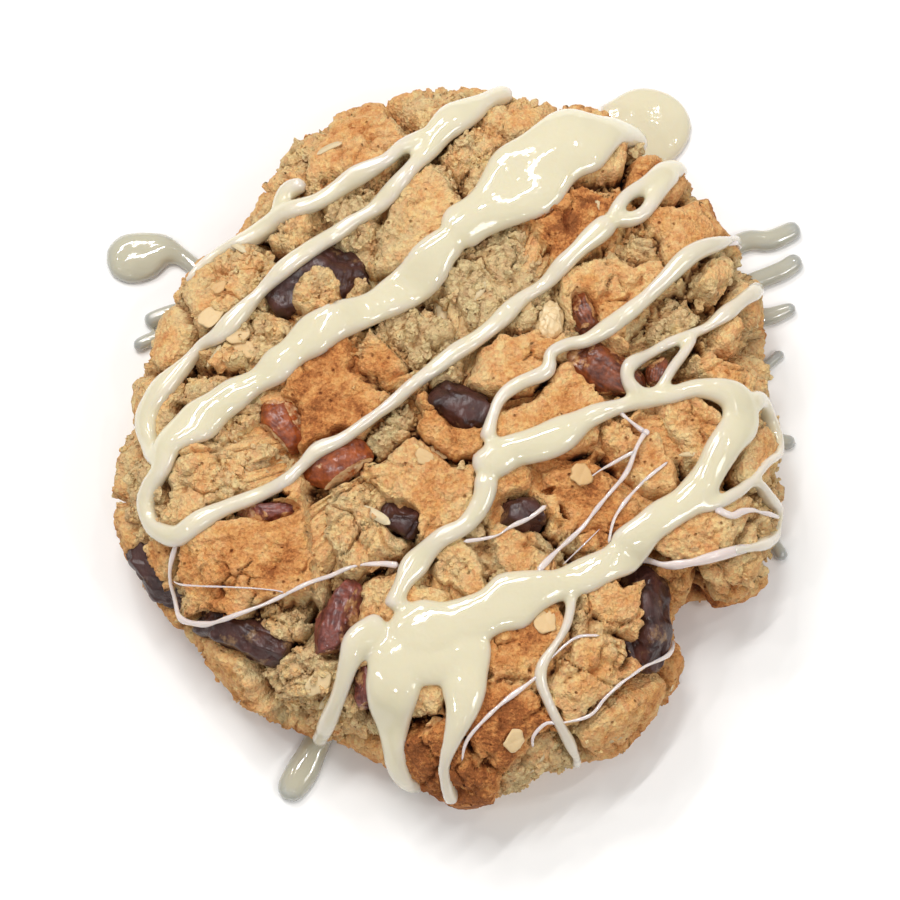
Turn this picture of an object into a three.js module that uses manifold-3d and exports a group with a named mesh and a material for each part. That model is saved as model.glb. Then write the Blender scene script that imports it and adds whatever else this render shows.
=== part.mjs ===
// A cowboy cookie: a thick, craggy oat cookie with chocolate chunks, pecan pieces and poured white chocolate.
// Millimetres, +Z up. It rests on Z = 0 over the origin, and -Y is the side nearest the viewer.
//
// Places on the cookie are given on its skin laid out flat: x and y run along the surface from the middle of the
// top, so a place further out than the shoulder lies on the side wall, and one at the foot meets the table.
import * as THREE from "three";
import { mergeGeometries, mergeVertices } from "three/addons/utils/BufferGeometryUtils.js";
import Module from "manifold-3d";

// Body of the cookie
const outlineRadius = 48.5; // mean radius of the outline, seen from above
const outlineBulges = [ // degrees round from +X, spread in degrees, reach in mm
  [8, 12, -2], [30, 9, 2], [47, 9, 3.5], [66, 12, 5], [90, 14, 4.5], [112, 11, 2.5], [137, 12, -4.5],
  [160, 11, -2], [180, 10, -1.5], [197, 10, 2], [220, 6, -0.5], [235, 6, 1], [253, 7, -1],
  [274, 11, 5.5], [295, 8, 3], [321, 7, -7.5], [334, 6, 1],
];
const equatorHeight = 7; // height of the widest place of the side
const shoulderDrop = 12; // from the top face down to the widest place
const shoulderWidth = 13; // how far in from the outline the top face begins to fall
const footWidth = 5; // how far the base is drawn in under the widest place
const domeRise = 2.5; // the middle of the top above its edge

// Crags: lumps of dough that meet at cracks. Each is x, y, size, rise above the base surface.
const shownLumps = [
  [-13, 42, 8, 0.5], [-3, 47.5, 6, 0], [4, 40, 6.5, 0.3], [10.5, 46.5, 5.5, 0], [-4, 31.5, 7, 0.6],
  [-15, 32, 5, -0.9], [-28, 37, 4, 0.2], [17, 40, 8, 0.5], [19.5, 30, 8.5, 1.2], [30, 36, 5, 0.4],
  [33, 28.5, 6.5, 0.8], [6, 18, 8.5, -0.9], [25, 19.5, 8, 0.8], [26.5, 26, 4.5, -0.4], [37.5, 21.5, 4.5, 0.2],
  [43.5, 19, 4, 0.2], [30.5, 15, 4.5, -1], [40.5, 12, 4, 0], [39, 7, 6, 0.8], [34.5, -0.5, 6, 0.3],
  [-3.5, 12.5, 5.5, -1], [9.5, 7, 6, 0.7], [14, 0.5, 7.5, 0.6], [-10.5, 7, 4, 0.9], [-17, 2, 7, 1.1],
  [-30.5, 10.5, 6, 0], [-34.5, 20, 6.5, 0.3], [-42.5, 15.5, 5, 0], [-19.5, 18.2, 3.6, 2.4], [-32, 3, 6, -0.2],
  [-35, -9, 8, 0.9], [-45.5, -8.5, 5, -0.4], [-28, -5.5, 4, -0.8], [-28.5, -20, 10, 1.6], [-13, -17, 7, 0.5],
  [-5, -9.5, 7, 0.5], [-2, -2.5, 4.5, 0.7], [-9, -2.5, 3.5, -1.1], [9, -19.5, 5.5, 0.3], [1.5, -23, 5, 0.3],
  [20.5, -12.5, 8, 0.8], [26, -6.5, 6, 0.4], [-24, -29, 4.5, -0.4], [-21.5, -37.5, 6.5, -0.7],
  [-34.5, -40, 6.5, 0.2], [-16.5, -43.5, 6, -0.9], [-6, -30, 9, 0], [10.5, -32, 6, 0.5], [22.5, -27.5, 6.5, 0.8],
  [20, -36, 7, 0.4], [6.5, -43, 6, 0.3], [-2, -50.5, 6, 0.2], [14.5, -52.5, 5.5, -0.5], [24, -45, 7, 0.3],
  [34.5, -17.5, 6, 0.4], [41, -22.5, 6, 0.2], [45, -4, 5, 0],
];
const fillLumps = { tries: 900, reach: 62, spacing: 0.92, sizes: [3.8, 6.5], rise: 0.55 }; // the rest, by rule
const lumpWander = { amount: 1.5, scale: 5.5 }; // how far the cracks stray from straight
const lumpShoulder = { width: 3, drop: 1.2 }; // rounding at a lump's edge
const lumpStep = 1.1; // width of the step from one lump to the next
const crack = { width: 2, depth: 2.1, usual: 0.55, varies: 1.1, patch: 9 }; // patch: how far one stretch gapes
const roughness = { scale: 4, amount: 0.4 };
const wallFade = [0.3, 5]; // the crags die out between these heights, towards the flat base

// Chunks: x, y, half length, half width, half height, turn in degrees, height of the top above the dough
const fitGap = 0.3; // clearance between a chunk and its seat in the dough
const chocolateChunks = {
  chocolate_1: [-19.9, 20, 7.5, 5.6, 4, 20, 1.3],
  chocolate_2: [1, 1.2, 5, 3.6, 3, -30, 1],
  chocolate_3: [-7.5, -15, 3.2, 2.4, 2.2, -20, 0.4],
  chocolate_4: [9.5, -14.3, 4, 3, 2.6, -15, 0.6],
  chocolate_5: [-46.7, -23.5, 6.4, 3.5, 3.2, -63, 0.9],
  chocolate_6: [-31.3, -31.3, 8.3, 3.5, 3.6, -19, 0.8],
  chocolate_7: [29.2, -28, 7.9, 4.2, 4, 72, 1.2],
};
const pecanPieces = {
  pecan_1: [-16.8, -6.5, 5.3, 4.3, 2.8, 18, 1.4],
  pecan_2: [18.8, 15, 3.8, 2, 2.3, 108, 1.1],
  pecan_3: [21.7, 7, 6.2, 3.7, 3, -32, 1.5],
  pecan_4: [-16, -29.2, 6.2, 3.2, 3, 74, 1.3],
  pecan_5: [-24.2, -0.8, 4.8, 3, 2.8, -60, 1.1],
  pecan_6: [29.2, 6.6, 2.5, 1.8, 1.8, 75, 0.7],
  pecan_7: [-26, -13.6, 4.8, 1.8, 1.9, 2, 0.7],
  pecan_8: [-12.5, -38.6, 3.4, 1.7, 1.8, 82, 0.5],
  pecan_9: [13.7, 13.7, 3.6, 1.9, 2, 78, 0.7],
};
const seat = { sink: 1.7, from: 0.8, to: 1.25, uneven: 0.12, scale: 2.5 }; // the dip round it, as shares of it
const covering = { rise: 1.65, from: 0.95, to: 1.15 }; // a lump that rises more than this covers a chunk
const chocolateForm = { power: 3, size: 0.95, uneven: 0.07 }; // power 2 would be a ball
const pecanForm = { groove: 0.12, grooveWidth: 0.17, ridge: 0.03, ridges: 9, uneven: 0.06 };
// Flat broken faces: how many, how far from the middle as a share of the piece, and how far they tip up
const chocolateBreaks = { count: 5, from: 0.68, to: 0.96 };
const pecanBreaks = { count: 3, from: 0.62, to: 0.9 };
const breakTurn = { first: 180, stray: 0.5, tip: [-0.1, 0.8] };
const chunkDetail = { large: 2, small: 1, largeFrom: 4.4 };
const flakeSize = [2.3, 1.7, 0.7]; // half length, half width and half thickness of an oat flake
const oatFlakes = [ // x, y, turn, tilt in degrees
  [-29.5, 10, 10, 12], [-30.8, 12, 20, 20], [-34.5, 15, 60, 25], [-24.6, -7.6, 95, 20], [-10.6, -12, 40, 15],
  [-2.5, -5.5, 15, 10], [17.6, -9, 70, 15], [12.5, -29.5, 80, 20], [8, -45.5, 20, 15], [-19, -38, 35, 15],
];

// White chocolate strands on the skin: x, y, half width. They lie on the crags, and bridge the cracks.
const strands = [
  [[8.5, 54, 2], [2.5, 47.5, 2.1], [-2, 43, 2.3], [-5, 38.5, 1.5], [-10, 32.5, 1.2], [-15, 29, 1.3],
    [-19.5, 25.5, 1.4], [-23.5, 22, 1.5], [-27.5, 18.5, 1.1], [-33, 12.5, 1.3], [-36.5, 11, 0.8],
    [-40, 7.5, 1.3], [-43, 4, 1.8], [-45, 0.5, 2], [-43.5, -4, 1.3], [-41, -6.5, 1.1]],
  [[-2.5, 42.5, 1.8], [-7, 40.5, 1.1], [-10, 38, 0.9], [-15, 35.5, 1.3], [-20.5, 32, 1.1], [-25.5, 31, 1.3],
    [-29, 30, 1.7], [-32, 28, 1.2], [-36, 26.5, 0.8], [-40, 22, 0.6]],
  [[-26.5, 31, 0.9], [-24.5, 34.5, 1.1], [-21.5, 35.5, 0.7]],
  [[31, 49, 1.6], [22, 43.5, 4], [15.5, 40, 5], [9.5, 34.5, 5.4], [4, 30, 4.4], [-1.5, 26.2, 2.9]],
  [[1, 26.8, 2.2], [-2, 24.4, 2.6], [-5, 21, 3.1], [-10, 17, 2.7], [-16, 13.5, 2.8], [-21, 10.5, 3.1],
    [-26, 6.5, 2.7], [-31.5, 3, 2.4], [-36.5, -1, 2.5], [-40, -4, 1.9], [-41, -7.5, 1.3], [-43, -10, 1.2],
    [-44, -12.5, 1.3], [-42.5, -15.5, 1.5], [-38.5, -17, 1.5], [-35, -15, 1.4], [-31, -13, 1.1], [-24, -10, 0.9],
    [-21.5, -7.8, 0.7], [-19, -5.5, 1], [-15.5, -4, 0.8], [-11, -0.5, 0.7], [-7.5, 2.5, 1.1], [-0.5, 8.5, 1.1],
    [5, 12.5, 1.4], [9.5, 17, 1.4], [13, 19.5, 1.3], [16, 22.5, 1.4], [19.5, 26, 1.8], [22.8, 28.9, 1.5]],
  [[22.5, 28.7, 1.1], [23.8, 31, 1], [25.3, 32.7, 1], [27.6, 34.8, 1], [31.5, 38, 1.5], [36, 42, 0.9]],
  [[22.5, 28.7, 1.1], [25.4, 29.2, 1], [27.4, 30.6, 1], [29.4, 33.4, 1], [32, 37.8, 1.3]],
  [[44.4, 30.9, 1.3], [41.8, 28.9, 0.7], [39.5, 27.2, 0.9], [37.5, 26, 1.1], [33.5, 23.5, 1.3],
    [26.5, 16.5, 1.3], [19.5, 11, 1.3], [16, 10, 1.1], [13.5, 8.5, 1], [13, 6, 1.1], [9, 4, 1.3], [6.5, 2, 1],
    [5.3, -1, 0.9], [4.5, -4.5, 1.3]],
  [[2.4, -6.4, 1.2], [4.5, -7, 2.8], [8.5, -5.5, 2.5], [13.5, -4, 2.7], [19, -0.5, 2.1], [23.5, 1.2, 1.5],
    [27, 2.5, 1.7], [30.5, 3, 1.1], [34.5, 4, 1.2], [39, 3, 2.2], [40.5, -0.3, 3], [38, -4, 2.5],
    [35.5, -8.5, 2.4], [33, -12, 2.7], [28.5, -15, 2.8], [25, -18, 2.8], [23, -20.5, 2.4], [18, -23, 2.1],
    [14.5, -24.3, 2.8], [10.5, -25.4, 3.6], [6.5, -27.3, 4.5], [0.5, -30.2, 4.4], [-5, -31.3, 4.3],
    [-9.5, -31.5, 3]],
  [[-9, -34.4, 3.2], [-4, -35.3, 3.5], [1.8, -34.8, 3.8]],
  [[4.5, -8.5, 2.3], [4, -12.5, 1.4], [1.5, -16, 1.3], [-2, -18, 1.8], [-5.5, -21.5, 2], [-7.5, -25, 1.3],
    [-8.5, -28, 1.5]],
  [[26.5, 2.5, 1.5], [24.5, 4.5, 1.3], [24.5, 6.8, 1.2], [27, 8.8, 1.1], [30.5, 11, 0.8], [34, 12.6, 0.7],
    [37, 14, 0.9], [40.5, 17, 1.3], [45, 21, 1.3], [48.5, 24, 1]],
  [[27.5, 2.5, 1], [29.2, 4.2, 0.7], [30.9, 7, 0.7], [32.7, 9.5, 0.7], [34.5, 12.5, 0.7]],
  [[-9, -30, 2.4], [-13, -32, 1.8], [-14.5, -35, 1.4], [-15.5, -38, 1.2], [-17, -41.5, 1.2], [-20, -47.5, 1.3],
    [-22.5, -52, 1.3], [-24.5, -60, 1.6]],
  [[-7.5, -31, 3.2], [-8, -35, 3.7], [-8.4, -38.7, 3.7], [-9, -43, 2.8], [-8.8, -48, 2.1], [-7.5, -56, 1.8],
    [-6, -64, 1.6]],
  [[0.8, -30, 4.6], [1.5, -35.5, 4.2], [1.4, -38.5, 3.6], [1.1, -41.5, 2.2], [-0.2, -45.3, 1.2], [-1.3, -49.3, 0.7],
    [-0.9, -53, 0.7], [0, -57, 0.8]],
  [[33, -13, 1.8], [36.5, -12.5, 1.3], [40, -10.5, 1.1], [42.5, -9, 0.9], [46.5, -10.5, 1], [52, -13, 1],
    [51, -16.5, 0.9], [44.5, -18, 0.8], [38.5, -19, 0.7]],
  [[41, 1.5, 1.8], [44.5, 3.6, 1.4], [48, 3, 1.1], [50, 0, 0.9], [49, -3.5, 0.8], [45, -6, 0.7], [42, -9, 0.8]],
  [[16.5, -24.5, 0.9], [15.5, -30, 0.7], [12, -36, 0.8], [13, -40.5, 0.7], [17, -48, 0.8], [19.5, -54, 0.7]],
];
// Where it ran past the rim it lies on the table, from under the edge outwards: x, y, z, half width, from above.
const overruns = [
  [[-33.5, 23.5, 0.4, 1.2], [-38.5, 27.7, 0.4, 1.3], [-41.6, 30, 0.4, 1.5], [-44, 30.6, 0.3, 2.9],
    [-47.5, 29.8, 0.2, 4], [-52.5, 28.8, 0.2, 3.7]],
  [[-36.5, 21.5, 0.4, 1.2], [-41.8, 21.1, 0.4, 1.3], [-46.6, 19.4, 0.4, 1.2]],
  [[-36.5, 17.8, 0.4, 1.1], [-42.2, 17.5, 0.4, 1.1], [-45.5, 16.7, 0.4, 1.1], [-48, 15.3, 0.4, 1]],
  [[35, 27, 0.4, 1.4], [43.5, 32, 0.4, 1.6], [47.7, 32.4, 0.4, 1.6], [52.4, 34.6, 0.4, 1.5]],
  [[38, 22.5, 0.4, 1.3], [43.7, 25.2, 0.4, 1.5], [49, 27.4, 0.4, 1.5], [52.4, 29.7, 0.4, 1.4]],
  [[40, 18.6, 0.4, 1.2], [44.7, 20.1, 0.4, 1.4], [47.4, 20.4, 0.4, 1.4], [51.4, 22, 0.4, 0.9]],
  [[40, 9, 0.4, 0.8], [45.3, 11.7, 0.4, 0.8], [49.3, 15, 0.4, 0.8]],
  [[41, 1.5, 0.4, 1], [46.8, 1.4, 0.4, 1.2], [50.8, 0.7, 0.4, 1.1]],
  [[40, -11, 0.4, 0.9], [45.6, -13.1, 0.4, 1], [48.6, -17, 0.4, 1]],
  [[-17.5, -38.5, 0.4, 1.6], [-20.4, -45, 0.4, 2.1], [-22.2, -48.3, 0.4, 2.4], [-24.4, -52, 0.4, 1.9]],
  [[23, 40, 0.3, 3], [27, 47, 0.3, 6], [29.5, 52, 0.2, 7.6], [30.5, 57, 0.2, 6.8]],
];
const pour = { crest: 1.9, reach: 1.4, least: 0.15, sunk: 3.2, sides: 6, step: 3.8, overrunStep: 2 };
const swelling = { amount: 0.3, scale: 4.6, seed: 12 }; // how a strand's width comes and goes along it

// Fineness of the faceted body: squares across the skin laid out flat, and the least detail kept after joining
const fineness = { grid: 48, least: 0.19, dab: 0.3, rounds: 6 };

const colours = {
  dough: { color: 0xc79a63, roughness: 0.85, metalness: 0 },
  chocolate: { color: 0x3b221b, roughness: 0.45, metalness: 0 },
  pecan: { color: 0x9a5228, roughness: 0.55, metalness: 0 },
};

const wasm = await Module();
wasm.setup();

const radians = THREE.MathUtils.degToRad;
const smooth = THREE.MathUtils.smoothstep;
const lerp = THREE.MathUtils.lerp;

// A number from 0 to 1 that belongs to the corner ix, iy, iz of a lattice.
function latticeValue(ix, iy, iz, seed) {
  const wave = Math.sin(ix * 127.1 + iy * 311.7 + iz * 74.7 + seed * 19.19) * 43758.5453;
  return wave - Math.floor(wave);
}

// Smooth noise from -1 to 1, with features of the given scale.
function noise(point, scale, seed) {
  const at = [point.x / scale, point.y / scale, point.z / scale];
  const cell = at.map(Math.floor);
  const [u, v, w] = at.map((value, axis) => {
    const part = value - cell[axis];
    return part * part * (3 - 2 * part);
  });
  const corner = (i, j, k) => latticeValue(cell[0] + i, cell[1] + j, cell[2] + k, seed);
  const along = (j, k) => lerp(corner(0, j, k), corner(1, j, k), u);
  return 2 * lerp(lerp(along(0, 0), along(1, 0), v), lerp(along(0, 1), along(1, 1), v), w) - 1;
}

const draw = (index, seed) => latticeValue(index, 0, 0, seed);

function outlineAt(angle) {
  const turn = THREE.MathUtils.radToDeg(angle);
  return outlineBulges.reduce((radius, [middle, spread, reach]) => {
    const away = THREE.MathUtils.euclideanModulo(turn - middle + 180, 360) - 180;
    return radius + reach * Math.exp(-((away / spread) ** 2));
  }, outlineRadius);
}

// Length of a quarter of an ellipse with half axes a and b, by Ramanujan's rule.
function quarterEllipse(a, b) {
  return (Math.PI / 4) * (3 * (a + b) - Math.sqrt((3 * a + b) * (a + 3 * b)));
}

const shoulderLength = quarterEllipse(shoulderWidth, shoulderDrop);
const footLength = quarterEllipse(footWidth, equatorHeight);
const skinMargin = 0.8; // the skin runs this far below the table, where the body is then cut off flat

// The base surface: a domed top, a rounded shoulder down to the widest place, and a foot drawn in to the table.
function basePoint(distance, angle) {
  const edge = outlineAt(angle);
  const flat = edge - shoulderWidth;
  const share = Math.min(distance / flat, 1);
  const fall = (THREE.MathUtils.clamp((distance - flat) / shoulderLength, 0, 1) * Math.PI) / 2;
  const tuck = (THREE.MathUtils.clamp((distance - flat - shoulderLength) / footLength, 0, 1) * Math.PI) / 2;
  const below = Math.max(distance - flat - shoulderLength - footLength, 0);
  let radius = edge - footWidth + footWidth * Math.cos(tuck);
  let height = equatorHeight * (1 - Math.sin(tuck)) - below;
  if (distance < flat + shoulderLength) {
    radius = distance < flat ? distance : flat + shoulderWidth * Math.sin(fall);
    height = equatorHeight + shoulderDrop * Math.cos(fall) + domeRise * (1 - share * share) ** 2;
  }
  return new THREE.Vector3(radius * Math.cos(angle), radius * Math.sin(angle), height);
}

const skinPoint = (x, y) => basePoint(Math.hypot(x, y), Math.atan2(y, x));

// Point of the base surface at x, y of the skin, with its directions: along x, and out of the surface.
function skinFrame(x, y) {
  const little = 0.25;
  const along = skinPoint(x + little, y).sub(skinPoint(x - little, y));
  const across = skinPoint(x, y + little).sub(skinPoint(x, y - little));
  const out = new THREE.Vector3().crossVectors(along, across).normalize();
  return { point: skinPoint(x, y), out, along: along.addScaledVector(out, -along.dot(out)).normalize() };
}

// The lumps that the eye picks out, and more by rule: a draw is kept where it is clear of those before it.
function makeLumps() {
  const lumps = shownLumps.map(([x, y, size, rise]) => ({ centre: skinPoint(x, y), size, rise }));
  for (let i = 0; i < fillLumps.tries; i += 1) {
    const distance = fillLumps.reach * Math.sqrt(draw(i, 11));
    const size = lerp(...fillLumps.sizes, draw(i, 13));
    const centre = basePoint(distance, 2 * Math.PI * draw(i, 12));
    const clear = lumps.every((lump) => lump.centre.distanceTo(centre) > fillLumps.spacing * (lump.size + size));
    if (clear) lumps.push({ centre, size, rise: fillLumps.rise * (2 * draw(i, 14) - 1) });
  }
  return lumps;
}

const lumps = makeLumps();

// Distance from a point to a chunk's middle, as a share of the chunk's outline on the dough.
function chunkShare({ middle, axes: [a, b, c], sides }, point) {
  const [along, across, up] = sides.map((side) => point.clone().sub(middle).dot(side));
  return Math.hypot(along / a, across / b, up / (2.5 * c));
}

// The crags die out towards the flat base.
const standing = (point) => smooth(point.z, ...wallFade);

// How far a smooth film over the crags stands off the base surface: what the white chocolate lies on.
function drapeHeight(point) {
  let weights = 0;
  let rises = 0;
  for (const lump of lumps) {
    const weight = Math.exp((-5 * point.distanceTo(lump.centre)) / lump.size);
    weights += weight;
    rises += weight * lump.rise;
  }
  const film = (rises / weights) * (rises > 0 ? 1 : 0.5);
  const overChunks = chunks.map((chunk) => chunk.stand * (1 - smooth(chunkShare(chunk, point), 0.5, 1.3)));
  return (film + Math.max(0, ...overChunks)) * standing(point);
}

// The two lumps nearest to a place, counted in shares of their sizes, after the place has wandered a little.
function nearestLumps(point) {
  const wander = [1, 2, 3].map((seed) => lumpWander.amount * noise(point, lumpWander.scale, seed));
  const warped = point.clone().add(new THREE.Vector3(...wander));
  let near = { away: Infinity };
  let next = near;
  for (const lump of lumps) {
    const found = { lump, away: warped.distanceTo(lump.centre) / lump.size };
    if (found.away < near.away) [near, next] = [found, near];
    else if (found.away < next.away) next = found;
  }
  return [near, next];
}

// How far the craggy dough stands off the base surface: each lump at its own rise, rounded off at its edge, with a
// crack between it and the next, and a dip round each chunk.
function doughHeight(point) {
  const [near, next] = nearestLumps(point);
  const fromEdge = ((next.away - near.away) * (near.lump.size + next.lump.size)) / 4;
  const own = 0.5 + 0.5 * smooth(fromEdge, 0, lumpStep);
  const gape = THREE.MathUtils.clamp(crack.usual + crack.varies * noise(point, crack.patch, 4), 0, 1);
  let height = near.lump.rise * own + next.lump.rise * (1 - own);
  height -= lumpShoulder.drop * (1 - smooth(fromEdge, 0, lumpShoulder.width)) ** 2;
  height -= crack.depth * gape * (1 - smooth(fromEdge, 0, crack.width));
  height += roughness.amount * noise(point, roughness.scale, 5);
  const bare = near.lump.rise < covering.rise ? 1 : smooth(near.away, covering.from, covering.to);
  for (const chunk of chunks) {
    const share = chunkShare(chunk, point) + seat.uneven * noise(point, seat.scale, 6);
    height -= bare * seat.sink * (1 - smooth(share, seat.from, seat.to));
  }
  return height * standing(point);
}

// Turned bodies of chocolate and nut. Their long side lies along the dough and their top stands a little proud.
function makeChunk(name, [x, y, a, b, c, turn, proud], surface, breaks) {
  const { point, out, along } = skinFrame(x, y);
  const long = along.clone().applyAxisAngle(out, radians(turn));
  const wide = new THREE.Vector3().crossVectors(out, long);
  const middle = point.clone().addScaledVector(out, proud - c);
  return { name, middle, axes: [a, b, c], sides: [long, wide, out], stand: proud, surface, breaks };
}

const unevenness = (direction, chunk, scale, seed) =>
  noise(direction.clone().addScaledVector(chunk.middle, 0.31), scale, seed);

// Radius of a chocolate chunk in a direction: a block with soft corners that has slumped in the oven.
function chocolateRadius(direction, chunk) {
  const { power, size, uneven } = chocolateForm;
  const sum = direction.toArray().reduce((total, part) => total + Math.abs(part) ** power, 0);
  return sum ** (-1 / power) * size * (1 + uneven * unevenness(direction, chunk, 0.9, 7));
}

// Radius of a pecan piece in a direction: a rounded back with a groove along it, and ridges beside the groove.
function pecanRadius(direction, chunk) {
  const { x, y, z } = direction;
  const { groove, grooveWidth, ridge, ridges, uneven } = pecanForm;
  const dip = groove * Math.exp(-((y / grooveWidth) ** 2)) * Math.max(z, 0);
  const ribs = ridge * Math.cos(ridges * Math.atan2(y, z)) * (1 - x * x);
  return 1 - dip + ribs + uneven * unevenness(direction, chunk, 0.8, 8);
}

// Radius at which a direction meets the nearest of a piece's broken faces. Each index breaks in its own way.
function breakRadius(direction, { count, from, to }, index) {
  let radius = Infinity;
  for (let n = 0; n < count; n += 1) {
    const share = (n + breakTurn.stray * (draw(index, 201 + n) - 0.5)) / count;
    const turn = radians(breakTurn.first + 360 * share);
    const tip = lerp(...breakTurn.tip, draw(index, 211 + n));
    const normal = new THREE.Vector3(Math.cos(turn), Math.sin(turn), tip);
    const towards = direction.dot(normal.normalize());
    if (towards > 0) radius = Math.min(radius, lerp(from, to, draw(index, 221 + n)) / towards);
  }
  return radius;
}

const chunks = [
  ...Object.entries(chocolateChunks).map((entry) => makeChunk(...entry, chocolateRadius, chocolateBreaks)),
  ...Object.entries(pecanPieces).map((entry) => makeChunk(...entry, pecanRadius, pecanBreaks)),
];

// Keeps only the places of a geometry and joins its seams, so that it is one closed mesh.
function welded(geometry) {
  geometry.deleteAttribute("normal");
  geometry.deleteAttribute("uv");
  return mergeVertices(geometry, 1e-4);
}

// Moves every vertex of a geometry to the place that a function gives for it.
function reshaped(geometry, place) {
  const positions = geometry.getAttribute("position");
  const vertex = new THREE.Vector3();
  for (let i = 0; i < positions.count; i += 1) {
    vertex.fromBufferAttribute(positions, i);
    positions.setXYZ(i, ...place(vertex).toArray());
  }
  return geometry;
}

function toSolid(geometry) {
  const mesh = { numProp: 3, vertProperties: geometry.getAttribute("position").array };
  return new wasm.Manifold(new wasm.Mesh({ ...mesh, triVerts: new Uint32Array(geometry.index.array) }));
}

function toGeometry(solid) {
  const { vertProperties, triVerts } = solid.getMesh();
  return new THREE.BufferGeometry()
    .setAttribute("position", new THREE.BufferAttribute(vertProperties, 3))
    .setIndex(new THREE.BufferAttribute(triVerts, 1));
}

// Spreads the square from -1 to 1 over the disc of radius 1, its edges going to the rim.
function squareToDisc({ x, y }) {
  if (x === 0 && y === 0) return { radius: 0, angle: 0 };
  const flatter = Math.abs(x) > Math.abs(y);
  const reach = flatter ? x : y;
  const turn = flatter ? (Math.PI / 4) * (y / x) : Math.PI / 2 - (Math.PI / 4) * (x / y);
  return { radius: Math.abs(reach), angle: reach < 0 ? turn + Math.PI : turn };
}

// Place of the finished dough surface, from a share of the way out from the middle of the top to the flat base.
function doughPlace({ radius, angle }) {
  const edge = outlineAt(angle) - shoulderWidth + shoulderLength + footLength + skinMargin;
  const distance = radius * edge;
  const { point, out } = skinFrame(distance * Math.cos(angle), distance * Math.sin(angle));
  return point.addScaledVector(out, doughHeight(point));
}

// The dough: a grid laid over the top and the side, closed by a base below the table.
function doughGeometry() {
  const { grid } = fineness;
  const skin = reshaped(new THREE.PlaneGeometry(2, 2, grid, grid), (vertex) => doughPlace(squareToDisc(vertex)));
  const base = new THREE.CircleGeometry(1, 4 * grid, Math.PI / 4, 2 * Math.PI);
  base.rotateX(Math.PI); // faces down
  reshaped(base, (v) => {
    const rim = Math.hypot(v.x, v.y) > 0.5;
    return rim ? doughPlace({ radius: 1, angle: Math.atan2(v.y, v.x) }) : new THREE.Vector3(0, 0, -skinMargin);
  });
  for (const geometry of [skin, base]) {
    geometry.deleteAttribute("normal");
    geometry.deleteAttribute("uv");
  }
  return mergeVertices(mergeGeometries([skin, base]), 1e-3);
}

// A strand: a closed rod bent along its route. A vertex's share of the way and its place in the section, sideways
// and up, are handed to a function that places it. Its ends are rounded off over the given length.
function strandGeometry(length, step, rounding, place) {
  const steps = Math.max(4, Math.round(length / step));
  const rod = welded(new THREE.CylinderGeometry(1, 1, 1, pour.sides, steps, false, Math.PI / pour.sides));
  return reshaped(rod, ({ x, y, z }) => {
    const share = THREE.MathUtils.clamp(y + 0.5, 0, 1);
    const fromEnd = Math.min(1, (Math.min(share, 1 - share) * length) / rounding);
    const full = Math.max(0.4, Math.sqrt(1 - (1 - fromEnd) ** 2));
    return place(share, x * full, z * full);
  });
}

const curveThrough = (points) => new THREE.CatmullRomCurve3(points, false, "catmullrom", 0.5);
const crestOf = (halfWidth) => pour.least + pour.crest * (1 - Math.exp(-halfWidth / pour.reach));

// How much wider or narrower a strand is at a place of the skin than its route says.
const swell = (x, y) => 1 + swelling.amount * noise(new THREE.Vector3(x, y, 0), swelling.scale, swelling.seed);

// A strand that lies on the crags. The route's third number is its half width.
function drapedStrand(points) {
  const route = curveThrough(points.map((p) => new THREE.Vector3(...p)));
  return strandGeometry(route.getLength(), pour.step, points[0][2], (share, side, up) => {
    const at = route.getPointAt(share);
    const ahead = route.getTangentAt(share);
    const halfWidth = at.z * swell(at.x, at.y);
    const across = new THREE.Vector2(ahead.y, -ahead.x).normalize().multiplyScalar(side * halfWidth);
    const { point, out } = skinFrame(at.x + across.x, at.y + across.y);
    return point.addScaledVector(out, drapeHeight(point) + (up > 0 ? crestOf(halfWidth) : pour.sunk) * up);
  });
}

// A strand that set on the table.
function overrunStrand(points) {
  const route = curveThrough(points.map(([x, y, z]) => new THREE.Vector3(x, y, z)));
  const widths = curveThrough(points.map((p) => new THREE.Vector3(p[3], 0, 0)));
  return strandGeometry(route.getLength(), pour.overrunStep, points[points.length - 1][3], (share, side, up) => {
    const at = route.getUtoTmapping(share);
    const ahead = route.getTangent(at);
    const halfWidth = widths.getPoint(at).x;
    const across = new THREE.Vector3(ahead.y, -ahead.x, 0).normalize().multiplyScalar(side * halfWidth);
    return route.getPoint(at).add(across).setZ(route.getPoint(at).z + crestOf(halfWidth) * up);
  });
}

// A flake: a flattened ball, pressed into the dough at a slant.
function flakeGeometry([x, y, turn, tilt]) {
  const { point, out, along } = skinFrame(x, y);
  const [long, wide, thick] = flakeSize;
  const middle = point.addScaledVector(out, drapeHeight(point) + 0.1);
  const ball = welded(new THREE.SphereGeometry(1, 10, 5));
  ball.rotateX(Math.PI / 2);
  ball.scale(long, wide, thick);
  ball.rotateY(radians(tilt));
  ball.rotateZ(radians(turn));
  const frame = new THREE.Matrix4().makeBasis(along, new THREE.Vector3().crossVectors(out, along), out);
  return ball.applyMatrix4(frame.setPosition(middle));
}

// A chunk as a closed mesh, larger all round by the given amount.
function chunkGeometry(chunk, index, grow) {
  const axes = new THREE.Vector3(...chunk.axes);
  const detail = chunk.axes[0] < chunkDetail.largeFrom ? chunkDetail.small : chunkDetail.large;
  const ball = welded(new THREE.IcosahedronGeometry(1, detail));
  const frame = new THREE.Matrix4().makeBasis(...chunk.sides).setPosition(chunk.middle);
  return reshaped(ball, (direction) => {
    const radius = Math.min(chunk.surface(direction, chunk), breakRadius(direction, chunk.breaks, index));
    const outward = direction.clone().divide(axes).normalize();
    const shape = direction.clone().multiplyScalar(radius).multiply(axes);
    return shape.addScaledVector(outward, grow).applyMatrix4(frame);
  });
}

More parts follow.
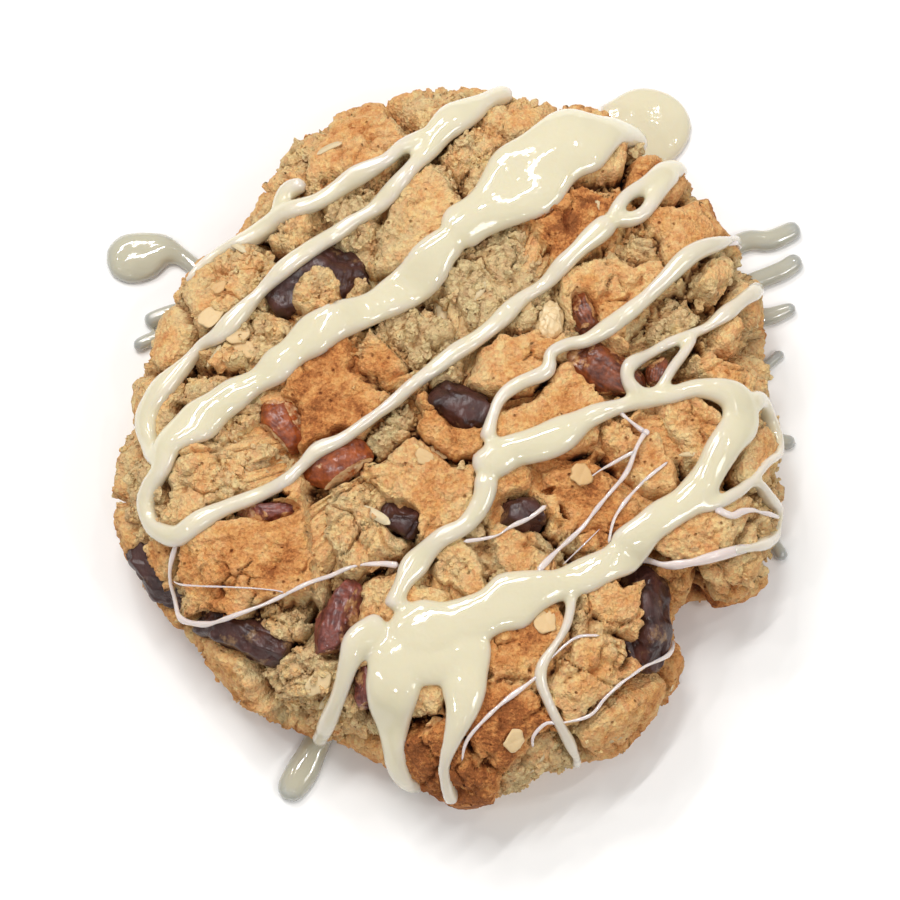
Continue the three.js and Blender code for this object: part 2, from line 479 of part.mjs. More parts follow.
// Drops loose scraps, and fills sealed hollows, whose walls count as bodies of less than no volume.
function largestBody(solid) {
  return solid.decompose().reduce((most, body) => (body.volume() > most.volume() ? body : most));
}

// Edges of a mesh that more than two faces share, as where two folds of it touch: the middle and length of each.
function pinches(geometry) {
  const { index, attributes } = mergeVertices(geometry, 1e-3);
  const faces = new Map();
  for (let i = 0; i < index.count; i += 1) {
    const next = i % 3 === 2 ? i - 2 : i + 1;
    const edge = [index.getX(i), index.getX(next)].sort((a, b) => a - b).join();
    faces.set(edge, (faces.get(edge) || 0) + 1);
  }
  const shared = [...faces].filter(([, count]) => count > 2).map(([edge]) => edge.split(",").map(Number));
  return shared.map((ends) => {
    const [from, to] = ends.map((end) => new THREE.Vector3().fromBufferAttribute(attributes.position, end));
    return { length: from.distanceTo(to), middle: from.clone().lerp(to, 0.5) };
  });
}

// The dough with all that is fused to it. Where two folds touch along an edge, a dab of dough joins them.
function cookieGeometry() {
  const pours = [...strands.map(drapedStrand), ...overruns.map(overrunStrand)];
  const added = [...pours, ...oatFlakes.map(flakeGeometry)].map(toSolid);
  const seats = chunks.map((chunk, index) => toSolid(chunkGeometry(chunk, index, fitGap)));
  const table = toSolid(welded(new THREE.BoxGeometry(200, 200, 20).translate(0, 0, -10))); // its top is Z = 0
  const spared = wasm.Manifold.union([...seats, table]);
  let body = wasm.Manifold.union([toSolid(doughGeometry()), ...added]);
  for (let round = 0; round < fineness.rounds; round += 1) {
    body = largestBody(body.subtract(spared).asOriginal().simplify(fineness.least));
    const geometry = toGeometry(body);
    const places = pinches(geometry);
    if (places.length === 0) return geometry;
    const dabs = places.map(({ middle, length }) => {
      const ball = new THREE.IcosahedronGeometry(length / 2 + fineness.dab, 0);
      return toSolid(welded(ball.translate(...middle.toArray())));
    });
    body = wasm.Manifold.union([body, ...dabs]);
  }
  throw new Error("folds of the body still touch");
}

const group = new THREE.Group();

function addNode(name, geometry, material) {
  const mesh = new THREE.Mesh(geometry, new THREE.MeshStandardMaterial(material));
  mesh.name = name;
  group.add(mesh);
}

addNode("cookie", cookieGeometry(), colours.dough);
chunks.forEach((chunk, index) => {
  const colour = chunk.surface === pecanRadius ? colours.pecan : colours.chocolate;
  addNode(chunk.name, chunkGeometry(chunk, index, 0), colour);
});

export default group;
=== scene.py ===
# A cowboy cookie: a thick oat cookie with chocolate chunks, pecan pieces and poured white chocolate. The
# frame is in metres, +Z up. Lengths in this script are millimetres until a mesh is made. Places on the
# cookie are given on its skin laid out flat: x and y run along the surface from the middle of the top, so a
# place further out than the shoulder lies on the side wall, and one at the foot meets the table.
import itertools
import math

import bpy
import numpy as np
from mathutils import Matrix, Vector


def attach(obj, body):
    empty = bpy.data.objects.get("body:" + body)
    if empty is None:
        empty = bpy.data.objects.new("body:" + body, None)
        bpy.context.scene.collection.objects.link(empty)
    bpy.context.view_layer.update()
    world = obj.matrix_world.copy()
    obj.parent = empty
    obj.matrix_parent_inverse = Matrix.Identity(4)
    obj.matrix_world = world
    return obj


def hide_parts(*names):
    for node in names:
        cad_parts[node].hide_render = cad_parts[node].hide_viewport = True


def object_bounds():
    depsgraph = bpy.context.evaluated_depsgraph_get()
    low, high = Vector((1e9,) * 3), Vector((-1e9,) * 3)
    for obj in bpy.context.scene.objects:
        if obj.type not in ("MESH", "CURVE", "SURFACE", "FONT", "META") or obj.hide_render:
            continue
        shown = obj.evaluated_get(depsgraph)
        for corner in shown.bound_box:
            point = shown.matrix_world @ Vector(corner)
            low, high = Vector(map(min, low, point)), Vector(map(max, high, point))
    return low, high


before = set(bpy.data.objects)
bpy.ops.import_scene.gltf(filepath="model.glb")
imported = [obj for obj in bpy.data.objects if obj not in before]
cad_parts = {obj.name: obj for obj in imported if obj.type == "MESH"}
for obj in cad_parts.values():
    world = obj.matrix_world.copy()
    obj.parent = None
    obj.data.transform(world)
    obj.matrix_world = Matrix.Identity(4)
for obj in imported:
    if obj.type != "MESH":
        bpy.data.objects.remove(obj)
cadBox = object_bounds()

mm = 0.001

camera = {"elevation": 76, "distance": 380, "target": (-0.6, -2.6, 10), "lens": 105.3, "sensor": 36}


def makeCamera():
    tilt = math.radians(camera["elevation"])
    target = Vector(camera["target"]) * mm
    back = Vector((0, -math.cos(tilt), math.sin(tilt)))
    data = bpy.data.cameras.new("camera")
    data.lens = camera["lens"]
    data.sensor_width = camera["sensor"]
    data.clip_start = 0.01
    shown = bpy.data.objects.new("camera", data)
    shown.location = target + back * camera["distance"] * mm
    shown.rotation_euler = back.to_track_quat("Z", "Y").to_euler()
    bpy.context.scene.collection.objects.link(shown)
    bpy.context.scene.camera = shown


makeCamera()


# A number from 0 to 1 that belongs to each corner ix, iy, iz of a lattice.
def latticeValue(ix, iy, iz, seed):
    wave = np.sin(ix * 127.1 + iy * 311.7 + iz * 74.7 + seed * 19.19) * 43758.5453
    return wave - np.floor(wave)


# Smooth noise from -1 to 1: the eight corners of a lattice cell, mixed by an eased share of the way between
# them.
def noise(points, scale, seed):
    at = points / scale
    cell = np.floor(at)
    part = at - cell
    eased = np.moveaxis(part * part * (3 - 2 * part), -1, 0)
    total = 0
    for corner in itertools.product((0, 1), repeat=3):
        weight = np.prod([e if c else 1 - e for e, c in zip(eased, corner)], axis=0)
        total = total + weight * latticeValue(*np.moveaxis(cell + corner, -1, 0), seed)
    return 2 * total - 1


# Several noises in one: the scale, amount and seed of each.
def noises(points, layers):
    return sum(amount * noise(points, scale, seed) for scale, amount, seed in layers)


def wander(points, amount, scale, seed):
    return points + amount * np.stack([noise(points, scale, seed + n) for n in range(3)], -1)


# Broken chips: space is split into cells round scattered spots. Each cell has its own level, from -1 to 1,
# and a slope of its own. Also gives the distance to the cell's border, in shares of the scale.
def chips(points, scale, seed, slope):
    at = points / scale
    cell = np.floor(at)
    near = np.full(at.shape[:-1], 9.0)
    second = near.copy()
    level = np.zeros_like(near)
    for corner in itertools.product((-1, 0, 1), repeat=3):
        home = cell + corner
        place = np.moveaxis(home, -1, 0)
        draws = np.stack([latticeValue(*place, seed + n) for n in range(3)], -1)
        offset = at - home - draws
        away = np.linalg.norm(offset, axis=-1)
        closer = away < near
        second = np.where(closer, near, np.minimum(second, away))
        turned = np.roll(draws, 1, axis=-1)
        own = 2 * draws[..., 1] - 1 + slope * np.sum((2 * turned - 1) * offset, axis=-1)
        level = np.where(closer, own, level)
        near = np.where(closer, away, near)
    return level, second - near


def smooth(value, low, high):
    share = np.clip((value - low) / (high - low), 0, 1)
    return share * share * (3 - 2 * share)


def unit(vectors):
    return vectors / np.maximum(np.linalg.norm(vectors, axis=-1, keepdims=True), 1e-9)


body = {
    "outlineRadius": 48.5,
    # degrees round from +X, spread in degrees, reach
    "outlineBulges": [
        (8, 12, -2), (30, 9, 2), (47, 9, 3.5), (66, 12, 5), (90, 14, 4.5), (112, 11, 2.5), (137, 12, -4.5),
        (160, 11, -2), (180, 10, -1.5), (197, 10, 2), (220, 6, -0.5), (235, 6, 1), (253, 7, -1),
        (274, 11, 5.5), (295, 8, 3), (321, 7, -7.5), (334, 6, 1),
    ],
    "equatorHeight": 7, "shoulderDrop": 12, "shoulderWidth": 13, "footWidth": 5, "domeRise": 2.5,
}


def quarterEllipse(a, b):
    return (math.pi / 4) * (3 * (a + b) - math.sqrt((3 * a + b) * (a + 3 * b)))


shoulderLength = quarterEllipse(body["shoulderWidth"], body["shoulderDrop"])
footLength = quarterEllipse(body["footWidth"], body["equatorHeight"])


def outlineAt(angle):
    radius = body["outlineRadius"]
    for middle, spread, reach in body["outlineBulges"]:
        away = np.mod(np.degrees(angle) - middle + 180, 360) - 180
        radius = radius + reach * np.exp(-((away / spread) ** 2))
    return radius


# A domed top, a quarter ellipse down to the widest place, a smaller one in to the foot, then the flat
# underside.
def basePoint(distance, angle):
    edge = outlineAt(angle)
    flat = edge - body["shoulderWidth"]
    fall = np.clip((distance - flat) / shoulderLength, 0, 1) * math.pi / 2
    tuck = np.clip((distance - flat - shoulderLength) / footLength, 0, 1) * math.pi / 2
    under = np.maximum(distance - flat - shoulderLength - footLength, 0)
    share = np.minimum(distance / flat, 1)
    onTop = distance < flat + shoulderLength
    topRadius = np.minimum(distance, flat) + body["shoulderWidth"] * np.sin(fall)
    sideRadius = edge - body["footWidth"] * (1 - np.cos(tuck)) - under
    dome = body["domeRise"] * (1 - share * share) ** 2
    topHeight = body["equatorHeight"] + body["shoulderDrop"] * np.cos(fall) + dome
    radius = np.where(onTop, topRadius, np.maximum(sideRadius, 0))
    height = np.where(onTop, topHeight, body["equatorHeight"] * (1 - np.sin(tuck)))
    return np.stack([radius * np.cos(angle), radius * np.sin(angle), height], -1)


def skinPoint(x, y):
    return basePoint(np.hypot(x, y), np.arctan2(y, x))


# The point at x, y of the skin and its directions: out of the surface, along x, and across.
def skinFrame(x, y):
    little = 0.25
    along = skinPoint(x + little, y) - skinPoint(x - little, y)
    across = skinPoint(x, y + little) - skinPoint(x, y - little)
    out = unit(np.cross(along, across))
    along = unit(along - out * np.sum(along * out, -1, keepdims=True))
    return skinPoint(x, y), out, along, np.cross(out, along)


crust = {
    # x, y, size, rise, and how brown it baked, from 0 pale and crumbly to 1 orange brown and smooth
    "shownLumps": [
        (-13, 42, 8, 0.5, 0.55), (-3, 47.5, 6, 0, 0.35), (4, 40, 6.5, 0.3, 0.42), (10.5, 46.5, 5.5, 0, 0.5),
        (-4, 31.5, 7, 0.6, 0.45), (-15, 32, 5, -0.9, 0.2), (-28, 37, 4, 0.2, 0.45), (17, 40, 8, 0.5, 0.5),
        (19.5, 30, 8.5, 1.2, 0.85), (30, 36, 5, 0.4, 0.7), (33, 28.5, 6.5, 0.8, 0.72),
        (6, 18, 8.5, -0.9, 0.08), (25, 19.5, 8, 0.8, 0.56), (26.5, 26, 4.5, -0.4, 0.35),
        (37.5, 21.5, 4.5, 0.2, 0.45), (43.5, 19, 4, 0.2, 0.55), (30.5, 15, 4.5, -1, 0.15),
        (40.5, 12, 4, 0, 0.55), (39, 7, 6, 0.8, 0.7), (34.5, -0.5, 6, 0.3, 0.5),
        (-3.5, 12.5, 5.5, -1, 0.12), (9.5, 7, 6, 0.7, 0.65), (14, 0.5, 7.5, 0.6, 0.65),
        (-10.5, 7, 4, 0.9, 0.76), (-17, 2, 7, 1.1, 0.8), (-30.5, 10.5, 6, 0, 0.3),
        (-34.5, 20, 6.5, 0.3, 0.4), (-42.5, 15.5, 5, 0, 0.5), (-19.5, 18.2, 3.6, 2.4, 0.4),
        (-32, 3, 6, -0.2, 0.3), (-35, -9, 8, 0.9, 0.47), (-45.5, -8.5, 5, -0.4, 0.25),
        (-28, -5.5, 4, -0.8, 0.2), (-28.5, -20, 10, 1.6, 0.7), (-13, -17, 7, 0.5, 0.42),
        (-5, -9.5, 7, 0.5, 0.55), (-2, -2.5, 4.5, 0.7, 0.75), (-9, -2.5, 3.5, -1.1, 0.1),
        (9, -19.5, 5.5, 0.3, 0.6), (1.5, -23, 5, 0.3, 0.5), (20.5, -12.5, 8, 0.8, 0.78),
        (26, -6.5, 6, 0.4, 0.65), (-24, -29, 4.5, -0.4, 0.3), (-21.5, -37.5, 6.5, -0.7, 0.25),
        (-34.5, -40, 6.5, 0.2, 0.6), (-16.5, -43.5, 6, -0.9, 0.3), (-6, -30, 9, 0, 0.5),
        (10.5, -32, 6, 0.5, 0.75), (22.5, -27.5, 6.5, 0.8, 0.55), (20, -36, 7, 0.4, 0.5),
        (6.5, -43, 6, 0.3, 0.95), (-2, -50.5, 6, 0.2, 1), (14.5, -52.5, 5.5, -0.5, 0.3),
        (24, -45, 7, 0.3, 0.62), (34.5, -17.5, 6, 0.4, 0.5), (41, -22.5, 6, 0.2, 0.5), (45, -4, 5, 0, 0.5),
    ],
    "fillLumps": {"tries": 900, "reach": 62, "spacing": 0.92, "sizes": (3.8, 6.5), "rise": 0.55},
    "fillBrown": (0.3, 0.75),
    # how far the cracks stray: amount, scale, first seed
    "strays": [(1.5, 5.5, 1), (0.55, 1.7, 41), (0.3, 0.75, 51)],
    "round": {"width": 3, "drop": 1.2},  # rounding of a crumbly lump towards its edge
    "step": 1.1,  # width of the step from one lump to the next
    "crack": {"width": (0.6, 1.7), "depth": 3.2, "usual": 0.5, "varies": 1.2, "patch": 9},
    # lumps browner than this keep a smooth crust with a crisp broken border, up to this far in from it
    "plate": {"from": 0.36, "to": 0.5, "drop": 0.75, "lift": 0.25, "border": 1.5, "patch": 6, "sharp": 0.3},
    "plateEdge": [(1.3, 0.5, 35), (0.55, 0.3, 36)],  # how its edge strays: scale, amount, seed
    "worn": {"share": 0.7, "scale": 3.2},  # how much of the chips' relief a plate keeps where it is worn
    "swell": {"scale": 4, "amount": 0.4},
    # how the browning varies: scale, amount, seed; how much paler the breaks and browner the foot are
    "mottle": [(3.2, 0.16, 31), (1.1, 0.13, 32)],
    "browning": {"middles": 0.16, "breaks": 0.26, "foot": 0.25, "footTop": 9},
    # scale, height, seed, slope, depth of the gaps between the chips
    "crumbs": [(3.3, 0.5, 61, 1.4, 1.0), (1.6, 0.3, 71, 1.5, 0.45), (0.8, 0.15, 81, 1.5, 0.2)],
    "flaking": [(2.1, 0.1, 91, 1.6, 0.5), (0.95, 0.09, 101, 1.6, 0.4), (0.5, 0.07, 106, 1.3, 0.4)],
    "fissure": {"scale": 5.5, "width": 0.08, "depth": 1.1, "patch": 6},
    # deep gaps between the lumps: x, y, half length, half width, turn in degrees
    "gaps": [
        (27.1, -1.3, 1.9, 1.3, 30), (24.8, -22.6, 2.6, 1.3, 20), (17.4, -20.5, 1.5, 0.9, -20),
        (15.2, -14, 1.1, 0.5, -50), (-20.1, -27.5, 1.4, 0.9, 70), (35.3, 10.2, 1.2, 0.8, 60),
        (21.5, 3.2, 1.4, 0.8, -30), (26.3, 4.2, 0.8, 0.6, 0), (-25.6, -11.5, 2.6, 0.55, 0),
        (24, -34.1, 1.7, 0.6, 80), (-40.1, 2.2, 1.1, 0.8, 30), (-5.7, -16.6, 0.9, 0.6, 60),
        (-11.6, -6.1, 0.7, 0.6, 0), (-13.1, -43.4, 1.8, 1, 70), (13.1, 22.8, 1.9, 0.55, 75),
        (27.1, -20.3, 1, 0.4, 0), (-30.8, -4.2, 0.8, 0.5, 0), (-11.5, -13.5, 1.1, 0.6, -40),
        (13.2, -10.8, 0.9, 0.35, 20),
    ],
    "gap": {"depth": 4.4, "stray": 0.5, "strayScale": 0.9, "from": 0.85, "to": 1.3},
    "seat": {"sink": 2.1, "from": 0.86, "to": 1.04},
    "seatEdge": [(2.6, 0.16, 6), (0.9, 0.1, 16)],
    "covering": {"rise": 1.65, "from": 0.95, "to": 1.1},  # a lump that rises more covers a chunk
    "wallFade": (0.3, 5),
    "topReach": 39.5, "topGrid": 312,  # the piece for the top, and squares across it
    "sideFrom": 38.0, "sideRows": 88, "sideColumns": 1000, "underRows": 5,
    "overlap": 0.7, "overlapSink": 2.0, "poleHeight": 10,  # where the pieces for the top and the side meet
    # dimples of the underside as scale, amount, seed, how deep they are, and how brown it baked
    "under": {"dimples": [(2.4, 1, 121), (0.9, 0.4, 122)], "depth": 0.35, "brown": 0.72,
              "mottle": [(6, 0.2, 123)]},
}

# x, y, half length, half width, half height, turn in degrees, height of the top above the dough
chocolateChunks = {
    "chocolate_1": (-19.9, 20, 7.5, 5.6, 4, 20, 1.3),
    "chocolate_2": (1, 1.2, 5, 3.6, 3, -30, 1),
    "chocolate_3": (-7.5, -15, 3.2, 2.4, 2.2, -20, 0.4),
    "chocolate_4": (9.5, -14.3, 4, 3, 2.6, -15, 0.6),
    "chocolate_5": (-46.7, -23.5, 6.4, 3.5, 3.2, -63, 0.9),
    "chocolate_6": (-31.3, -31.3, 8.3, 3.5, 3.6, -19, 0.8),
    "chocolate_7": (29.2, -28, 7.9, 4.2, 4, 72, 1.2),
}
pecanPieces = {
    "pecan_1": (-16.8, -6.5, 5.3, 4.3, 2.8, 18, 1.4),
    "pecan_2": (18.8, 15, 3.8, 2, 2.3, 108, 1.1),
    "pecan_3": (21.7, 7, 6.2, 3.7, 3, -32, 1.5),
    "pecan_4": (-16, -29.2, 6.2, 3.2, 3, 74, 1.3),
    "pecan_5": (-24.2, -0.8, 4.8, 3, 2.8, -60, 1.1),
    "pecan_6": (29.2, 6.6, 2.5, 1.8, 1.8, 75, 0.7),
    "pecan_7": (-26, -13.6, 4.8, 1.8, 1.9, 2, 0.7),
    "pecan_8": (-12.5, -38.6, 3.4, 1.7, 1.8, 82, 0.5),
    "pecan_9": (13.7, 13.7, 3.6, 1.9, 2, 78, 0.7),
}


def drawLump(index, seed):
    return float(latticeValue(index, 0.0, 0.0, seed))


# The lumps that are listed one by one, and more by rule: a draw is kept where it is clear of those before it.
def makeLumps():
    places, sizes, rises, browns = [], [], [], []
    for x, y, size, rise, brown in crust["shownLumps"]:
        places.append(skinPoint(np.float64(x), np.float64(y)))
        sizes.append(size)
        rises.append(rise)
        browns.append(brown)
    fill = crust["fillLumps"]
    low, high = fill["sizes"]
    paler, browner = crust["fillBrown"]
    for i in range(fill["tries"]):
        distance = fill["reach"] * math.sqrt(drawLump(i, 11))
        size = low + (high - low) * drawLump(i, 13)
        place = basePoint(np.float64(distance), np.float64(2 * math.pi * drawLump(i, 12)))
        away = np.linalg.norm(np.array(places) - place, axis=1)
        if np.all(away > fill["spacing"] * (np.array(sizes) + size)):
            places.append(place)
            sizes.append(size)
            rises.append(fill["rise"] * (2 * drawLump(i, 14) - 1))
            browns.append(paler + (browner - paler) * drawLump(i, 15))
    return np.array(places), np.array(sizes), np.array(rises), np.array(browns)


lumpPlaces, lumpSizes, lumpRises, lumpBrowns = makeLumps()


def makeChunk(sizes):
    x, y, a, b, c, turn, proud = sizes
    point, out, along, across = skinFrame(np.float64(x), np.float64(y))
    long = along * math.cos(math.radians(turn)) + across * math.sin(math.radians(turn))
    sides = np.array([long, np.cross(out, long), out])
    middle = point + out * (proud - c)
    return {"middle": middle, "axes": np.array([a, b, c]), "sides": sides, "stand": proud}


chunks = {name: makeChunk(sizes) for name, sizes in {**chocolateChunks, **pecanPieces}.items()}
deep = crust["gap"]["depth"]
gapPlaces = [makeChunk((x, y, long, wide, deep, turn, deep)) for x, y, long, wide, turn in crust["gaps"]]


# Distance to a chunk's middle, as a share of the chunk's outline on the dough.
def chunkShare(chunk, points):
    local = (points - chunk["middle"]) @ chunk["sides"].T
    return np.linalg.norm(local / (chunk["axes"] * (1, 1, 2.5)), axis=-1)


def standing(points):
    return smooth(points[..., 2], *crust["wallFade"])


# The two lumps nearest to each place, counted in shares of their sizes, after the places have wandered.
def nearestLumps(points):
    warped = points
    for amount, scale, seed in crust["strays"]:
        warped = warped + wander(points, amount, scale, seed) - points
    near = np.full(len(points), 1e9)
    after = near.copy()
    first = np.zeros(len(points), int)
    second = first.copy()
    for i, (place, size) in enumerate(zip(lumpPlaces, lumpSizes)):
        away = np.linalg.norm(warped - place, axis=1) / size
        closer = away < near
        between = ~closer & (away < after)
        second = np.where(closer, first, np.where(between, i, second))
        after = np.where(closer, near, np.where(between, away, after))
        first = np.where(closer, i, first)
        near = np.where(closer, away, near)
    fromEdge = (after - near) * (lumpSizes[first] + lumpSizes[second]) / 4
    return first, second, fromEdge


# The cracks between the lumps, which gape in some patches and close in others.
def crackDepth(points, fromEdge):
    crack = crust["crack"]
    narrow, wide = crack["width"]
    gape = np.clip(crack["usual"] + crack["varies"] * noise(points, crack["patch"], 4), 0, 1)
    width = narrow + (wide - narrow) * gape ** 2
    return crack["depth"] * gape * (1 - smooth(fromEdge / width, 0, 1))


# The broken chips that a pale lump is a heap of, and the finer flaking of a crust.
def chipHeight(points, crusty):
    height = crust["swell"]["amount"] * noise(points, crust["swell"]["scale"], 5)
    strayed = wander(points, 0.35, 0.9, 44)
    worn = crust["worn"]["share"] * smooth(noise(points, crust["worn"]["scale"], 38), -0.25, 0.7)
    for key, share in (("crumbs", 1 - crusty * (1 - worn)), ("flaking", crusty)):
        for scale, amount, seed, slope, groove in crust[key]:
            level, side = chips(strayed, scale, seed, slope)
            level = np.clip(level, -1.5, 1.2) - groove * (1 - smooth(side, 0, 0.2))
            height = height + share * amount * level
    return height


def fissureDepth(points):
    fissure = crust["fissure"]
    side = chips(wander(points, 0.7, 1.6, 111), fissure["scale"], 114, 0)[1]
    gaping = smooth(noise(points, fissure["patch"], 118), -0.1, 0.35)
    return gaping * fissure["depth"] * (1 - smooth(side, 0, fissure["width"]))


# How much of each place a high lump of dough covers, so that no chunk shows there.
def coveredShare(points):
    covering = crust["covering"]
    strayed = wander(points, 0.8, 1.5, 46)
    covered = np.zeros(len(points))
    for place, size, rise in zip(lumpPlaces, lumpSizes, lumpRises):
        if rise >= covering["rise"]:
            away = np.linalg.norm(strayed - place, axis=1) / size
            covered = np.maximum(covered, 1 - smooth(away, covering["from"], covering["to"]))
    return covered


# The deep gaps, and the seats that the chunks and nuts sit in.
def openingDepth(points, covered):
    gap, seat = crust["gap"], crust["seat"]
    strayed = wander(points, gap["stray"], gap["strayScale"], 48)
    edge = noises(points, crust["seatEdge"])
    depth = 0
    for opening in gapPlaces:
        away = np.linalg.norm((strayed - opening["middle"]) @ opening["sides"].T / opening["axes"], axis=1)
        depth = depth + gap["depth"] * (1 - smooth(away, gap["from"], gap["to"]))
    for chunk in chunks.values():
        share = chunkShare(chunk, points) + edge
        depth = depth + (1 - covered) * seat["sink"] * (1 - smooth(share, seat["from"], seat["to"]))
    return depth


# How far the dough stands off the base surface, how brown it is and how crumbly: each lump at its own rise,
# with a crack between it and the next. A browned lump is a crust that broke off crisply, a pale one a heap
# of chips.
def doughRelief(points):
    first, second, fromEdge = nearestLumps(points)
    own = 0.5 + 0.5 * smooth(fromEdge, 0, crust["step"])
    brown = lumpBrowns[first] * own + lumpBrowns[second] * (1 - own) + noises(points, crust["mottle"])
    plate = crust["plate"]
    plated = smooth(lumpBrowns[first] + 0.14 * noise(points, 4.5, 33), plate["from"], plate["to"])
    border = plate["border"] * smooth(noise(points, plate["patch"], 37), -0.25, 0.6)
    lip = smooth(fromEdge + noises(points, crust["plateEdge"]) - border, 0.1, 0.1 + plate["sharp"])
    crusty = plated * lip
    height = lumpRises[first] * own + lumpRises[second] * (1 - own)
    soft = crust["round"]["drop"] * (1 - smooth(fromEdge, 0, crust["round"]["width"])) ** 2
    height = height - soft * (1 - 0.45 * crusty)
    height = height + plate["lift"] * plated - plate["drop"] * plated * (1 - lip)
    height = height - crackDepth(points, fromEdge) + chipHeight(points, crusty) - fissureDepth(points)
    covered = coveredShare(points)
    high = np.where(lumpRises >= crust["covering"]["rise"], lumpRises, 0)
    height = height - (1 - covered) * (high[first] * own + high[second] * (1 - own))
    height = height - openingDepth(points, covered)
    browning = crust["browning"]
    brown = brown + browning["middles"] * (smooth(fromEdge, 0.4, 4) - 0.5) * plated
    brown = brown - browning["breaks"] * (1 - crusty) * plated
    brown = brown + browning["foot"] * (1 - smooth(points[:, 2], 1, browning["footTop"]))
    fade = standing(points)
    return height * fade, brown, (1 - crusty) * fade


# Maps of the relief over the skin laid out flat, for what lies on it. A film is blurred, takes the highest
# place within its reach, and is blurred again.
maps = {
    "reach": 68.0, "step": 0.36, "average": 1.5,
    "film": (0.4, 1.6, 1.5, -0.15), "close": (0.9, 1.2, 0.1),
}


def blurred(field, reach):
    cells = max(1, int(round(reach / maps["step"])))
    weights = np.exp(-0.5 * (np.arange(-3 * cells, 3 * cells + 1) / cells) ** 2)
    weights = weights / weights.sum()
    padded = np.pad(field, 3 * cells, mode="edge")
    rows = sum(w * padded[i:i + field.shape[0], :] for i, w in enumerate(weights))
    return sum(w * rows[:, i:i + field.shape[1]] for i, w in enumerate(weights))


# The highest place within reach, as a film laid over the crags would feel it.
def highest(field, reach):
    cells = int(math.ceil(reach / maps["step"]))
    best = field
    for i, j in itertools.product(range(-cells, cells + 1), repeat=2):
        if 0 < math.hypot(i, j) * maps["step"] <= reach:
            best = np.maximum(best, np.roll(field, (i, j), (0, 1)))
    return best


def readMap(field, x, y):
    last = field.shape[0] - 2
    u = np.clip((x + maps["reach"]) / maps["step"], 0, last + 0.999)
    v = np.clip((y + maps["reach"]) / maps["step"], 0, last + 0.999)
    i, j = np.floor(u).astype(int), np.floor(v).astype(int)
    p, q = u - i, v - j
    near = field[i, j] * (1 - p) + field[i + 1, j] * p
    far = field[i, j + 1] * (1 - p) + field[i + 1, j + 1] * p
    return near * (1 - q) + far * q


def makeMaps():
    count = int(round(2 * maps["reach"] / maps["step"])) + 1
    line = -maps["reach"] + maps["step"] * np.arange(count)
    x, y = np.meshgrid(line, line, indexing="ij")
    points = skinPoint(x, y).reshape(-1, 3)
    height, brown, crumbly = [field.reshape(count, count) for field in doughRelief(points)]
    topped = height
    for chunk in chunks.values():
        local = (points - chunk["middle"]) @ chunk["sides"].T / chunk["axes"]
        share = np.minimum(np.hypot(local[:, 0], local[:, 1]), 1).reshape(count, count)
        top = chunk["stand"] - chunk["axes"][2] * (1 - (1 - share ** 3) ** (1 / 3))
        topped = np.where(share < 0.97, np.maximum(topped, top), topped)
    first, reach, last, lift = maps["film"]
    closeReach, closeLast, closeLift = maps["close"]
    return {
        "dough": height, "brown": brown, "crumbly": crumbly, "topped": topped,
        "average": blurred(height, maps["average"]),
        "film": blurred(highest(blurred(topped, first), reach), last) + lift,
        "close": blurred(highest(topped, closeReach), closeLast) + closeLift,
    }


relief = makeMaps()
print("crags worked out:", len(lumpPlaces), "lumps")


# Quads of a grid of vertex numbers. Where numbers repeat, as at a pole, a quad becomes a triangle or goes.
def gridFaces(numbers):
    a, b = numbers[:-1, :-1].ravel(), numbers[1:, :-1].ravel()
    c, d = numbers[1:, 1:].ravel(), numbers[:-1, 1:].ravel()
    quads = np.stack([a, b, c, d], 1)
    same = quads == np.roll(quads, -1, axis=1)
    whole = quads[~same.any(axis=1)]
    once = (same.sum(axis=1) == 1) & (a != c) & (b != d)
    folded, where = quads[once], np.argmax(same[once], axis=1)
    columns = (where[:, None] + np.arange(1, 4)) % 4
    return whole, np.take_along_axis(folded, columns, axis=1)


# Vertex numbers of rings one after another: the last column joins the first, and each end is a single
# point.
def ringNumbers(rows, columns):
    numbers = np.arange(rows * columns).reshape(rows, columns)
    numbers[0] = numbers[0, 0]
    numbers[-1] = numbers[-1, 0]
    return np.concatenate([numbers, numbers[:, :1]], axis=1)


# Volume inside closed faces: the sum of the tetrahedra from the origin to each face.
def volumeOf(points, faces):
    total = 0
    for part in faces:
        for i in range(1, part.shape[1] - 1):
            total += np.sum(points[part[:, 0]] * np.cross(points[part[:, i]], points[part[:, i + 1]]))
    return total / 6


def makePiece(name, points, faces, material, values=None, rounded=True):
    faces = [part for part in faces if len(part)]
    points = np.clip(points, np.array(cadBox[0]) / mm, np.array(cadBox[1]) / mm)
    if volumeOf(points, faces) < 0:
        faces = [part[:, ::-1] for part in faces]
    mesh = bpy.data.meshes.new(name)
    mesh.vertices.add(len(points))
    mesh.vertices.foreach_set("co", (points * mm).astype(np.float32).ravel())
    corners = np.concatenate([part.ravel() for part in faces])
    counts = np.concatenate([np.full(len(part), part.shape[1]) for part in faces])
    mesh.loops.add(len(corners))
    mesh.loops.foreach_set("vertex_index", corners.astype(np.int32))
    mesh.polygons.add(len(counts))
    mesh.polygons.foreach_set("loop_start", (np.cumsum(counts) - counts).astype(np.int32))
    mesh.update(calc_edges=True)
    mesh.polygons.foreach_set("use_smooth", np.full(len(counts), rounded))
    for key, value in (values or {}).items():
        mesh.attributes.new(key, "FLOAT", "POINT").data.foreach_set("value", value.astype(np.float32))
    mesh.materials.append(material)
    piece = bpy.data.objects.new(name, mesh)
    bpy.context.scene.collection.objects.link(piece)
    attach(piece, "root")
    return piece



# sRGB hex to linear light.
def hexColour(code):
    parts = [int(code[i:i + 2], 16) / 255 for i in (1, 3, 5)]
    return tuple(p / 12.92 if p <= 0.04045 else ((p + 0.055) / 1.055) ** 2.4 for p in parts) + (1,)


